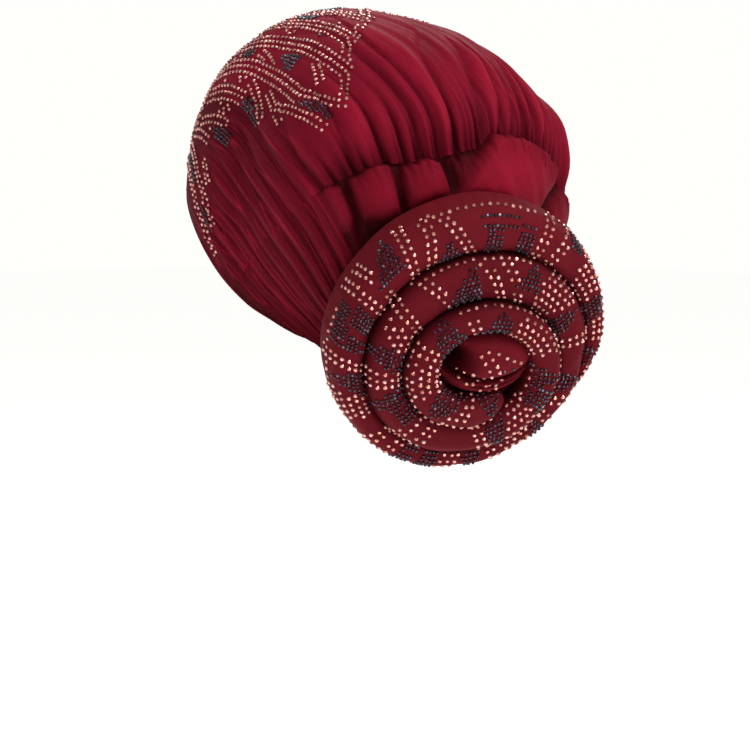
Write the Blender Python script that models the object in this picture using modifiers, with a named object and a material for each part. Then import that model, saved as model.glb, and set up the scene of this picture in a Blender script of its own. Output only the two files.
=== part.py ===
"""Turban cap: a gathered cloth crown with a puffed back, a flounce below the gather line,
and a padded roll wound into a domed spiral rosette with a knotted end at its middle.

Metres, +Z up. The face side is -Y, the back +Y, the wearer's left +X.
The origin is on the head's axis at brow level.
"""

import math

import bmesh
import bpy
import numpy as np

# Head opening and crown
HEAD_HALF_LENGTH = 0.101
HEAD_HALF_WIDTH = 0.083
CROWN_HEIGHT = 0.1135
CENTRE_DROP = 0.015
OPENING_TILT = math.radians(36)
CLOTH = 0.0018
SEAM_GAP = 0.0008

# Folds
PUFF_FOLD_HEIGHT = 0.0055
SIDE_PLEAT_HEIGHT = 0.0026
GROOVE_DEPTH = 0.0035
GROOVE_SHARE = 0.05
FLOUNCE_FOLD_HEIGHT = 0.011

# The gather line flattens the crown's folds by this share over this stretch, and the flounce
# carries on with what is left of them. Shares are of the way along the piece.
SEAM_PINCH = 0.6
SEAM_PINCH_SHARE = 0.035
SEAM_CARRY_SHARE = 0.06
PLEAT_RISE_SHARE = 0.1

# Where the flounce's folds rise, widen and fade, as shares of the way down
TENT_RISE_SHARE = 0.08
TENT_WIDEN_SHARE = 0.45
TENT_FADE_START_SHARE = 0.35
TENT_FADE_SHARE = 0.45

# Rosette
ROSETTE_RADIUS = 0.0785
ROSETTE_SIDE = 0.027
ROSETTE_BACK = HEAD_HALF_LENGTH * 1.233
ROSETTE_DROP = CROWN_HEIGHT * 0.696
ROSETTE_TURN = math.radians(25)
ROSETTE_DIP = math.radians(24)
ROLL_HALF_HEIGHT = 0.0165
ROLL_GAP = 0.0004
DOME_HEIGHT = 0.026

# Roundness of the roll's section across and through it: 1 is an ellipse, less is fuller
SECTION_ROUND_ACROSS = 0.5
SECTION_ROUND_THROUGH = 0.88

# Knot: gap round it, its level as a share of the dome, its half height as a share of the
# roll's, and the hollow at its left
KNOT_GAP = 0.002
KNOT_LEVEL = 0.86
KNOT_HALF_HEIGHT = 0.85
KNOT_HOLLOW_RIGHT_SHARE = -0.75
KNOT_HOLLOW_UP_SHARE = 0.1
KNOT_HOLLOW_SIZE_SHARE = 0.35
KNOT_HOLLOW_DEPTH_SHARE = 0.9

# The cloth behind the rosette is pressed in, clear of it by this much, in steps over a range
PRESS_CLEARANCE = 0.0016
PRESS_SOFTNESS = 0.003
PRESS_NEAR = HEAD_HALF_LENGTH * 0.3
PRESS_FAR = HEAD_HALF_LENGTH * 2.2
PRESS_STEPS = 381

# Reach of the cloth from the shape centre, as a share of the half sizes of the crown.
# Columns: elevation in degrees, then front, front quarter, side, back quarter and back.
REACH = np.array([
    (-60, 0.90, 0.90, 0.98, 1.00, 0.93),
    (-45, 0.92, 0.92, 1.02, 1.04, 1.08),
    (-30, 0.94, 0.94, 1.00, 1.14, 1.20),
    (-15, 0.95, 0.95, 0.975, 1.30, 1.29),
    (0, 0.955, 0.965, 0.98, 1.39, 1.355),
    (15, 0.97, 0.98, 0.995, 1.40, 1.365),
    (30, 1.00, 1.00, 1.00, 1.26, 1.29),
    (45, 1.01, 1.01, 1.01, 1.15, 1.17),
    (60, 1.005, 1.005, 1.01, 1.055, 1.07),
    (75, 1.00, 1.00, 1.00, 1.01, 1.015),
    (90, 1.00, 1.00, 1.00, 1.00, 1.00),
])

# Edge of the opening, seen from the cap's tilted axis.
# Columns: turn from the brow in degrees, angle from the axis in degrees.
RIM = np.array([
    (0, 113.0),
    (50, 111.5),
    (76, 112.8),
    (91, 113.8),
    (108, 111.8),
    (121, 108.0),
    (137, 105.7),
    (180, 108.9),
])

# Place of the gather line between brow and nape.
# Columns: share across (-1 right side, 1 left side), share along (-1 brow, 1 nape).
GATHER = np.array([
    (-1.00, 0.33),
    (-0.75, 0.42),
    (-0.50, 0.48),
    (-0.35, 0.45),
    (-0.20, 0.40),
    (0.00, 0.365),
    (0.25, 0.36),
    (0.50, 0.315),
    (0.75, 0.29),
    (1.00, 0.28),
])

# Folds from the middle of the back outwards to the side edge, the same on both sides.
# Columns: width, place of the crest in the width, height on the left, height on the right,
# share of the way from brow to gather line where the fold begins.
PUFF_FOLDS = (
    (0.060, 0.50, 0.90, 1.00, 0.35),
    (0.058, 0.45, 1.00, 0.80, 0.30),
    (0.064, 0.55, 0.80, 1.00, 0.40),
    (0.056, 0.50, 1.05, 0.95, 0.28),
    (0.062, 0.45, 0.90, 0.85, 0.38),
    (0.058, 0.55, 1.00, 1.05, 0.30),
    (0.060, 0.50, 0.85, 0.90, 0.42),
    (0.062, 0.50, 0.95, 0.95, 0.34),
    (0.060, 0.45, 0.75, 0.80, 0.45),
)
SIDE_PLEATS = (
    (0.048, 0.70, 0.90, 1.00, 0.36),
    (0.046, 0.72, 1.00, 0.90, 0.34),
    (0.048, 0.68, 0.85, 1.00, 0.32),
    (0.044, 0.70, 1.05, 0.95, 0.30),
    (0.046, 0.72, 0.90, 1.00, 0.28),
    (0.046, 0.70, 1.00, 0.90, 0.26),
    (0.048, 0.68, 0.80, 0.85, 0.24),
    (0.044, 0.70, 0.70, 0.70, 0.22),
    (0.046, 0.70, 0.55, 0.55, 0.20),
)

# Tent folds of the flounce. Columns: place across at the gather line (+ is the wearer's
# left), half width at the gather line, half width lower down, drift across, height.
TENTS = (
    (0.50, 0.045, 0.060, 0.00, 0.45),
    (0.41, 0.045, 0.070, 0.02, 0.65),
    (0.32, 0.045, 0.085, 0.03, 0.85),
    (0.21, 0.050, 0.100, -0.01, 1.00),
    (0.10, 0.045, 0.070, -0.02, 0.65),
    (-0.05, 0.065, 0.190, 0.03, 1.15),
    (-0.22, 0.045, 0.070, 0.00, 0.65),
    (-0.34, 0.050, 0.090, 0.02, 0.60),
    (-0.46, 0.050, 0.080, 0.02, 0.35),
)

# Edges of the wound roll at the four quarters, as shares of the rosette radius.
# Columns: turn, right, top, left, bottom, level of the roll as a share of the dome, and
# half height as a share of the roll's.
TURNS = np.array([
    (0, 1.00, 1.00, 1.00, 1.00, 0.00, 1.00),
    (1, 0.855, 0.655, 0.75, 0.805, 0.08, 1.00),
    (2, 0.63, 0.34, 0.51, 0.555, 0.42, 1.00),
    (3, 0.40, 0.16, 0.29, 0.33, 0.78, 0.92),
    (4, 0.20, 0.02, 0.08, 0.12, 1.00, 0.80),
])

# The roll starts at this winding angle and narrows to its tip over these angles at its two
# ends, in degrees
ROLL_START = -35
ROLL_TAIL = 60
ROLL_TUCK = 28
ROLL_TIP = 0.3
ROLL_STATIONS = 84
STATIONS_PER_TURN = 28
ROLL_SIDES = 12

# Rows of the cloth grids, as shares of the way along each piece
CROWN_ROWS = np.array([0, 0.03, 0.13, 0.26, 0.39, 0.51, 0.62, 0.72, 0.81, 0.885, 0.945, 0.98, 1.0])
FLOUNCE_ROWS = np.array([0, 0.035, 0.09, 0.18, 0.30, 0.44, 0.60, 0.78, 1.0])

# Linear colours and roughness of the finishes
CROWN_COLOUR = (0.235, 0.018, 0.030)
FLOUNCE_COLOUR = (0.225, 0.017, 0.028)
ROLL_COLOUR = (0.200, 0.020, 0.028)
KNOT_COLOUR = (0.190, 0.018, 0.026)
SHELL_ROUGHNESS = 0.45
ROLL_ROUGHNESS = 0.5


def slopes(knots, rows):
    """Slopes at each row that keep the curve through the rows free of overshoot."""
    secant = np.diff(rows, axis=0) / np.diff(knots)[:, None]
    before = secant[:-1]
    after = secant[1:]
    same = before * after > 0
    total = np.where(same, before + after, 1.0)
    found = np.zeros_like(rows)
    found[1:-1] = np.where(same, 2 * before * after / total, 0.0)
    found[0] = secant[0]
    found[-1] = secant[-1]
    return found


def blend(start, end, slope_start, slope_end, share):
    """Cubic between two values with given slopes, share running from 0 to 1."""
    rest = 1 - share
    from_start = (1 + 2 * share) * rest**2 * start + share * rest**2 * slope_start
    to_end = share**2 * (3 - 2 * share) * end - share**2 * rest * slope_end
    return from_start + to_end


def look_up(table, place):
    """Values of the table's columns at each place in its first column."""
    knots = table[:, 0].astype(float)
    rows = table[:, 1:].astype(float)
    bend = slopes(knots, rows)
    held = np.clip(place, knots[0], knots[-1])
    row = np.clip(np.searchsorted(knots, held, side="right") - 1, 0, len(knots) - 2)
    step = knots[row + 1] - knots[row]
    share = ((held - knots[row]) / step)[..., None]
    width = step[..., None]
    return blend(rows[row], rows[row + 1], bend[row] * width, bend[row + 1] * width, share)


def look_across(columns, place):
    """Value between evenly spaced columns at a place counted in columns."""
    count = columns.shape[-1]
    secant = np.diff(columns, axis=-1)
    before = secant[..., :-1]
    after = secant[..., 1:]
    same = before * after > 0
    total = np.where(same, before + after, 1.0)
    bend = np.zeros_like(columns)
    bend[..., 1:-1] = np.where(same, 2 * before * after / total, 0.0)
    left = np.clip(np.floor(place).astype(int), 0, count - 2)
    share = place - left

    def pick(values, index):
        return np.take_along_axis(values, index[..., None], axis=-1)[..., 0]

    return blend(pick(columns, left), pick(columns, left + 1),
                 pick(bend, left), pick(bend, left + 1), share)


def smooth(share):
    """Ease from 0 to 1."""
    held = np.clip(share, 0.0, 1.0)
    return held * held * (3 - 2 * held)


def cap_direction(across, along):
    """Unit directions of the cap's cloth from its centre, across and along from -1 to 1."""
    side = across * np.sqrt(1 - along**2 / 2)
    back = along * np.sqrt(1 - across**2 / 2)
    reach = np.hypot(side, back)
    turn = np.degrees(np.arctan2(np.abs(side), -back))
    polar = np.radians(reach * look_up(RIM, turn)[..., 0])
    spread = np.where(reach > 1e-9, np.sin(polar) / np.maximum(reach, 1e-9), math.radians(RIM[0, 1]))
    axis = np.array([0.0, math.sin(OPENING_TILT), math.cos(OPENING_TILT)])
    rear = np.array([0.0, math.cos(OPENING_TILT), -math.sin(OPENING_TILT)])
    sideways = np.array([1.0, 0.0, 0.0])
    found = np.cos(polar)[..., None] * axis
    found = found + (spread * side)[..., None] * sideways
    return found + (spread * back)[..., None] * rear


def base_offset(across, along):
    """Plain form of the cap without folds, as offsets from the shape centre."""
    direction = cap_direction(across, along)
    flat = np.hypot(direction[..., 0], direction[..., 1])
    elevation = np.degrees(np.arctan2(direction[..., 2], flat))
    turn = np.degrees(np.arctan2(np.abs(direction[..., 0]), -direction[..., 1]))
    share = look_across(look_up(REACH, elevation), turn / 45.0)
    halves = np.array([HEAD_HALF_WIDTH, HEAD_HALF_LENGTH, CROWN_HEIGHT])
    return share[..., None] * direction * halves


def gather_line(across):
    """Place of the gather line along the cap at each place across."""
    return look_up(GATHER, across)[..., 0]


def fold_rows():
    """Fold table with the place where each fold starts across and its real height."""
    rows = []
    start = 0.0
    for group, height in ((PUFF_FOLDS, PUFF_FOLD_HEIGHT), (SIDE_PLEATS, SIDE_PLEAT_HEIGHT)):
        for width, crest, left, right, begin in group:
            rows.append((start, width, crest, left * height, right * height, begin))
            start += width
    return np.array(rows)


def fold_relief(across, share):
    """Height of the crown's folds, share running from 0 at the brow to 1 at the gather line."""
    rows = fold_rows()
    place = np.abs(across)
    index = np.clip(np.searchsorted(rows[:, 0], place, side="right") - 1, 0, len(rows) - 1)
    start, width, crest, left, right, begin = np.moveaxis(rows[index], -1, 0)
    inside = np.clip((place - start) / width, 0.0, 1.0)
    rising = np.sin(np.pi / 2 * np.clip(inside / crest, 0.0, 1.0))
    falling = np.sin(np.pi / 2 * np.clip((1 - inside) / (1 - crest), 0.0, 1.0))
    height = np.where(across >= 0, left, right)
    return height * np.minimum(rising, falling) * smooth((share - begin) / (1 - begin))


def tent_relief(across, share):
    """Height of the flounce's folds, share running from 0 at the gather line to 1 below."""
    found = np.zeros_like(across)
    for place, narrow, wide, drift, height in TENTS:
        half = narrow + (wide - narrow) * smooth(share / TENT_WIDEN_SHARE)
        off = np.abs(across - place - drift * share) / half
        ridge = 0.5 + 0.5 * np.cos(np.pi * np.clip(off, 0.0, 1.0))
        found = np.maximum(found, height * ridge)
    fade = 1 - smooth((share - TENT_FADE_START_SHARE) / TENT_FADE_SHARE)
    return FLOUNCE_FOLD_HEIGHT * found * smooth(share / TENT_RISE_SHARE) * fade


def groove(share):
    """Dip of the cloth toward the gather line, share being the distance from it."""
    return -GROOVE_DEPTH * np.exp(-((share / GROOVE_SHARE) ** 2))


def rosette_axes():
    """Centre of the rosette and its right, up and outward directions."""
    out = np.array([
        math.sin(ROSETTE_TURN) * math.cos(ROSETTE_DIP),
        math.cos(ROSETTE_TURN) * math.cos(ROSETTE_DIP),
        -math.sin(ROSETTE_DIP),
    ])
    right = np.array([-math.cos(ROSETTE_TURN), math.sin(ROSETTE_TURN), 0.0])
    up = np.cross(out, right)
    centre = np.array([ROSETTE_SIDE, ROSETTE_BACK, -ROSETTE_DROP])
    return centre, right, up, out


def roll_edge(degrees):
    """Outer edge of the wound roll in the rosette's plane, by its winding angle."""
    quarters = []
    for quarter in range(4):
        table = np.column_stack([TURNS[:, 0] * 360 + 90 * quarter, TURNS[:, 1 + quarter]])
        quarters.append(look_up(table, degrees)[..., 0])
    right, top, left, bottom = quarters
    angle = np.radians(degrees)
    x = (right - left) / 2 + (right + left) / 2 * np.cos(angle)
    y = (top - bottom) / 2 + (top + bottom) / 2 * np.sin(angle)
    return ROSETTE_RADIUS * np.stack([x, y], axis=-1)


def roll_path(degrees):
    """Middle, half width, direction across, level and half height of the roll.

    The middle lies half a turn further in than the outer edge, so the level does too.
    """
    outer = roll_edge(degrees)
    inner = roll_edge(degrees + 360)
    span = outer - inner
    length = np.linalg.norm(span, axis=-1)
    turns = np.column_stack([TURNS[:, 0], TURNS[:, 5:]])
    level, tall = np.moveaxis(look_up(turns, degrees / 360 + 0.5), -1, 0)
    middle = (outer + inner) / 2
    across = span / length[..., None]
    half = length / 2 - ROLL_GAP / 2
    return middle, half, across, level * DOME_HEIGHT, tall * ROLL_HALF_HEIGHT


def press_reach(direction):
    """Distance from the shape centre at which the cloth meets the back of the rosette."""
    centre, right, up, out = rosette_axes()
    ring = np.linspace(0, 360, 73)
    middle, half, _, level, tall = roll_path(ring)
    angle = np.degrees(np.arctan2(middle[:, 1], middle[:, 0])) % 360
    order = np.argsort(angle)
    far = np.hypot(middle[:, 0], middle[:, 1])[order]
    angle, half, level, tall = angle[order], half[order], level[order], tall[order]
    shape_centre = np.array([0.0, 0.0, -CENTRE_DROP])
    found = np.full(direction.shape[:-1], 2 * PRESS_FAR)
    for reach in np.linspace(PRESS_FAR, PRESS_NEAR, PRESS_STEPS):
        point = shape_centre + reach * direction - centre
        x, y, z = point @ right, point @ up, point @ out
        turn = np.degrees(np.arctan2(y, x)) % 360
        ring_far = np.interp(turn, angle, far, period=360)
        ring_half = np.interp(turn, angle, half, period=360)
        ring_tall = np.interp(turn, angle, tall, period=360)
        ring_level = np.interp(turn, angle, level, period=360)
        beyond = np.maximum(np.hypot(x, y) - ring_far, 0.0) / (ring_half + PRESS_CLEARANCE)
        lift = np.abs(z - ring_level) / (ring_tall + PRESS_CLEARANCE)
        full_across = beyond ** (2 / SECTION_ROUND_ACROSS)
        full_through = lift ** (2 / SECTION_ROUND_THROUGH)
        inside = full_across + full_through < 1
        found = np.where(inside, reach, found)
    return found


def cloth_points(across, along, relief):
    """Points of the cloth with its folds, held clear of the back of the rosette."""
    offset = base_offset(across, along)
    length = np.linalg.norm(offset, axis=-1)
    direction = offset / length[..., None]
    free = length + relief
    limit = press_reach(direction)
    near = np.clip(1 - np.abs(free - limit) / PRESS_SOFTNESS, 0.0, 1.0)
    reach = np.minimum(free, limit) - PRESS_SOFTNESS / 4 * near**2
    shape_centre = np.array([0.0, 0.0, -CENTRE_DROP])
    return shape_centre + direction * reach[..., None]


def crown_points(across, share):
    """Outer face of the crown, share running from 0 at the brow to 1 at the gather line."""
    end = gather_line(across) - SEAM_GAP / 2 / HEAD_HALF_LENGTH
    along = -1 + (end + 1) * share
    pinch = 1 - SEAM_PINCH * np.exp(-(((1 - share) / SEAM_PINCH_SHARE) ** 2))
    relief = fold_relief(across, share) * pinch + groove(1 - share)
    return cloth_points(across, along, relief)


def flounce_points(across, share):
    """Outer face of the flounce, share running from 0 at the gather line to 1 at the nape."""
    start = gather_line(across) + SEAM_GAP / 2 / HEAD_HALF_LENGTH
    along = start + (1 - start) * share
    folds = fold_relief(across, np.ones_like(across))
    carried = (1 - SEAM_PINCH) * np.exp(-((share / SEAM_CARRY_SHARE) ** 2))
    pleated = np.abs(across) > sum(row[0] for row in PUFF_FOLDS)
    carried = carried + np.where(pleated, smooth(share / PLEAT_RISE_SHARE), 0.0)
    relief = folds * carried + tent_relief(across, share) + groove(share)
    return cloth_points(across, along, relief)


def fold_columns(steps_puff, steps_pleat):
    """Places across where the cloth is cut into columns: edge, flanks and crest of each fold."""
    rows = fold_rows()
    places = []
    for row, (start, width, crest, *_) in enumerate(rows):
        steps = steps_puff if row < len(PUFF_FOLDS) else steps_pleat
        for part in steps:
            bent = part * 2 * crest if part <= 0.5 else crest + (part - 0.5) * 2 * (1 - crest)
            places.append(start + width * bent)
    end = rows[-1, 0] + rows[-1, 1]
    places.extend([end, 1.0])
    half = np.array(places)
    return np.concatenate([-half[:0:-1], half])


def grid_object(name, columns, shares, shaper, material):
    """Cloth piece from a grid whose columns and rows are placed by the shaper, made solid."""
    mesh = bpy.data.meshes.new(name)
    cage = bmesh.new()
    bmesh.ops.create_grid(cage, x_segments=len(columns) - 1, y_segments=len(shares) - 1, size=1.0)
    cage.to_mesh(mesh)
    cage.free()
    flat = np.empty(len(mesh.vertices) * 3)
    mesh.vertices.foreach_get("co", flat)
    flat = flat.reshape(-1, 3)
    column = np.rint((flat[:, 0] + 1) / 2 * (len(columns) - 1)).astype(int)
    row = np.rint((flat[:, 1] + 1) / 2 * (len(shares) - 1)).astype(int)
    points = shaper(columns[column], shares[row])
    mesh.vertices.foreach_set("co", points.ravel())
    mesh.update()
    piece = bpy.data.objects.new(name, mesh)
    mesh.materials.append(material)
    mesh.shade_smooth()
    solid = piece.modifiers.new("cloth", "SOLIDIFY")
    solid.thickness = CLOTH
    solid.offset = -1.0
    return piece


def roll_object(name, material):
    """Padded roll wound inward, its closed sections lofted along the winding."""
    degrees = ROLL_START + np.arange(ROLL_STATIONS) * 360 / STATIONS_PER_TURN
    middle, half, across, level, tall = roll_path(degrees)
    from_start = np.clip((degrees - degrees[0]) / ROLL_TAIL, 0.0, 1.0)
    from_end = np.clip((degrees[-1] - degrees) / ROLL_TUCK, 0.0, 1.0)
    near = np.minimum(from_start, from_end)
    taper = ROLL_TIP + (1 - ROLL_TIP) * np.sqrt(1 - (1 - near) ** 2)
    centre, right, up, out = rosette_axes()
    angle = np.arange(ROLL_SIDES) * 2 * np.pi / ROLL_SIDES
    wide = np.sign(np.cos(angle)) * np.abs(np.cos(angle)) ** SECTION_ROUND_ACROSS
    high = np.sign(np.sin(angle)) * np.abs(np.sin(angle)) ** SECTION_ROUND_THROUGH
    sideways = (half * taper)[:, None] * wide
    x = middle[:, :1] + across[:, :1] * sideways
    y = middle[:, 1:] + across[:, 1:] * sideways
    z = level[:, None] + (tall * taper)[:, None] * high
    points = centre + x[..., None] * right + y[..., None] * up + z[..., None] * out
    cage = bmesh.new()
    rings = [[cage.verts.new(point) for point in ring] for ring in points]
    for first, second in zip(rings, rings[1:]):
        for side in range(ROLL_SIDES):
            after = (side + 1) % ROLL_SIDES
            cage.faces.new((first[side], second[side], second[after], first[after]))
    cage.faces.new(rings[0])
    cage.faces.new(rings[-1][::-1])
    bmesh.ops.recalc_face_normals(cage, faces=cage.faces)
    mesh = bpy.data.meshes.new(name)
    cage.to_mesh(mesh)
    cage.free()
    mesh.materials.append(material)
    mesh.shade_smooth()
    return bpy.data.objects.new(name, mesh)


def knot_object(name, material):
    """Tucked end of the roll: a soft oval lump in the middle with a hollow at its left."""
    middle = roll_edge(np.linspace(1080, 1350, 4))
    low = middle.min(axis=0)
    high = middle.max(axis=0)
    centre, right, up, out = rosette_axes()
    cage = bmesh.new()
    bmesh.ops.create_uvsphere(cage, u_segments=20, v_segments=12, radius=1.0)
    half = (high - low) / 2 - KNOT_GAP
    place = (high + low) / 2
    for vertex in cage.verts:
        x, y, z = vertex.co
        away = math.hypot(x - KNOT_HOLLOW_RIGHT_SHARE, y - KNOT_HOLLOW_UP_SHARE) / KNOT_HOLLOW_SIZE_SHARE
        dent = KNOT_HOLLOW_DEPTH_SHARE * math.exp(-(away**2)) if z > 0 else 0.0
        level = DOME_HEIGHT * KNOT_LEVEL + ROLL_HALF_HEIGHT * (KNOT_HALF_HEIGHT - dent) * z
        flat = place + np.array([x, y]) * half
        vertex.co = centre + flat[0] * right + flat[1] * up + level * out
    mesh = bpy.data.meshes.new(name)
    cage.to_mesh(mesh)
    cage.free()
    mesh.materials.append(material)
    mesh.shade_smooth()
    return bpy.data.objects.new(name, mesh)


def cloth_material(name, colour, roughness):
    """Woven satin finish of one colour."""
    material = bpy.data.materials.new(name)
    material.use_nodes = True
    shader = material.node_tree.nodes["Principled BSDF"]
    shader.inputs["Base Color"].default_value = (*colour, 1.0)
    shader.inputs["Roughness"].default_value = roughness
    shader.inputs["Metallic"].default_value = 0.0
    material.diffuse_color = (*colour, 1.0)
    return material


def main():
    """Clear the scene and build the cap."""
    for item in list(bpy.data.objects):
        bpy.data.objects.remove(item, do_unlink=True)
    collection = bpy.data.collections.new("turban_cap")
    bpy.context.scene.collection.children.link(collection)

    crown = grid_object(
        "crown", fold_columns((0.0, 0.2, 0.5, 0.8), (0.0, 0.3, 0.5)), CROWN_ROWS, crown_points,
        cloth_material("crown_satin", CROWN_COLOUR, SHELL_ROUGHNESS))
    flounce = grid_object(
        "back_flounce", fold_columns((0.0, 0.5), (0.0, 0.5)), FLOUNCE_ROWS, flounce_points,
        cloth_material("flounce_satin", FLOUNCE_COLOUR, SHELL_ROUGHNESS))
    roll = roll_object("rosette_roll", cloth_material("roll_satin", ROLL_COLOUR, ROLL_ROUGHNESS))
    knot = knot_object("rosette_knot", cloth_material("knot_satin", KNOT_COLOUR, ROLL_ROUGHNESS))
    for piece in (crown, flounce, roll, knot):
        collection.objects.link(piece)


if __name__ == "__main__":
    main()
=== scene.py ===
"""Turban cap of burgundy satin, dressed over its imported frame.

A pleated crown with a puffed back and a panel of crystals, a loose flounce below the gather
line, and a padded roll wound into a domed rosette, set with rose and midnight crystals.
Metres, +Z up, the face side -Y, the wearer's left +X, the origin at brow level.
"""

from __future__ import annotations

import logging
import math
from collections.abc import Callable
from dataclasses import dataclass, field
from enum import Enum

import bmesh
import bpy
import numpy as np
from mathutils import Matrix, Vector

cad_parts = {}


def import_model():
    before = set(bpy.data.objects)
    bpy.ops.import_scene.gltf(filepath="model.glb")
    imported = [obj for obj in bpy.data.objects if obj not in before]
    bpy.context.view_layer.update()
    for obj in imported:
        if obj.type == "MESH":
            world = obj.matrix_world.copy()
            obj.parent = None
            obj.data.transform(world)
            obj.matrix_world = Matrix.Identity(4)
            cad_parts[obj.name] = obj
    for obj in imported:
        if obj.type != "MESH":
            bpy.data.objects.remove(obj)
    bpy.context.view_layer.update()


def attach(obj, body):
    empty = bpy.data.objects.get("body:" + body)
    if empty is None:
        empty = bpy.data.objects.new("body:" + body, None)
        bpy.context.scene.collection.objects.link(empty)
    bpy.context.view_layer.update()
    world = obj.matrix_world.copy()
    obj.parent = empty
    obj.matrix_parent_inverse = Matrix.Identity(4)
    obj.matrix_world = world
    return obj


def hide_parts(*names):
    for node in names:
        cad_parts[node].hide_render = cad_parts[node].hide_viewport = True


LOG = logging.getLogger("turban_cap")
Grid = np.ndarray
Shaper = Callable[[Grid, Grid], Grid]


# Curves through tables


def gentle(before: Grid, after: Grid) -> Grid:
    """Slope between two secants: their harmonic mean, or level at a turn."""
    same = before * after > 0
    return np.where(same, 2 * before * after / np.where(same, before + after, 1.0), 0.0)


def slopes(knots: Grid, rows: Grid) -> Grid:
    """Slopes at each row that keep the curve through the rows free of overshoot.

    Args:
        knots: Places of the rows, growing.
        rows: Values at the places, a column for each quantity.

    Returns:
        The slope of each quantity at each place.
    """
    secant = np.diff(rows, axis=0) / np.diff(knots)[:, None]
    found = np.zeros_like(rows)
    found[1:-1] = gentle(secant[:-1], secant[1:])
    found[0], found[-1] = secant[0], secant[-1]
    return found


def blend(start: Grid, end: Grid, slope_start: Grid, slope_end: Grid, share: Grid) -> Grid:
    """Cubic from one value to another with the slopes given at both ends.

    Args:
        start: Values where the share is 0.
        end: Values where the share is 1.
        slope_start: Slopes at the start, for the whole step.
        slope_end: Slopes at the end, for the whole step.
        share: Place in the step, from 0 to 1.

    Returns:
        The values at the share.
    """
    rest = 1 - share
    from_start = (1 + 2 * share) * rest**2 * start + share * rest**2 * slope_start
    return from_start + share**2 * (3 - 2 * share) * end - share**2 * rest * slope_end


def look_up(table: Grid, place: Grid) -> Grid:
    """Values of a table's columns at each place in its first column.

    Args:
        table: Rows of a place followed by its values.
        place: Where the values are wanted.

    Returns:
        The values, in a last axis of their own.
    """
    knots, rows = table[:, 0].astype(float), table[:, 1:].astype(float)
    bend = slopes(knots, rows)
    held = np.clip(place, knots[0], knots[-1])
    row = np.clip(np.searchsorted(knots, held, side="right") - 1, 0, len(knots) - 2)
    step = knots[row + 1] - knots[row]
    share = ((held - knots[row]) / step)[..., None]
    width = step[..., None]
    return blend(rows[row], rows[row + 1], bend[row] * width, bend[row + 1] * width, share)


def look_across(columns: Grid, place: Grid) -> Grid:
    """Value between evenly spaced columns.

    Args:
        columns: Values with the columns in the last axis.
        place: Place counted in columns, one for each row of columns.

    Returns:
        One value for each place.
    """
    secant = np.diff(columns, axis=-1)
    bend = np.zeros_like(columns)
    bend[..., 1:-1] = gentle(secant[..., :-1], secant[..., 1:])
    left = np.clip(np.floor(place).astype(int), 0, columns.shape[-1] - 2)

    def pick(values: Grid, index: Grid) -> Grid:
        """Values of one column for each row."""
        return np.take_along_axis(values, index[..., None], axis=-1)[..., 0]

    return blend(pick(columns, left), pick(columns, left + 1),
                 pick(bend, left), pick(bend, left + 1), place - left)


def smooth(share: Grid) -> Grid:
    """Ease from 0 to 1 with level ends."""
    held = np.clip(share, 0.0, 1.0)
    return held * held * (3 - 2 * held)


def bell(share: Grid) -> Grid:
    """Round peak of height 1 at 0 that dies away within about 2 on either side."""
    return np.exp(-(share**2))


def ripple(place: Grid, pitch: float, drift: float = 0.0) -> Grid:
    """Uneven waves from -1 to 1: three sines whose pitches have no common measure."""
    turn = 2 * np.pi * place / pitch + drift
    return (np.sin(turn) + 0.6 * np.sin(1.618 * turn + 1.3) + 0.4 * np.sin(0.53 * turn + 2.1)) / 2


# Forms


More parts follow.
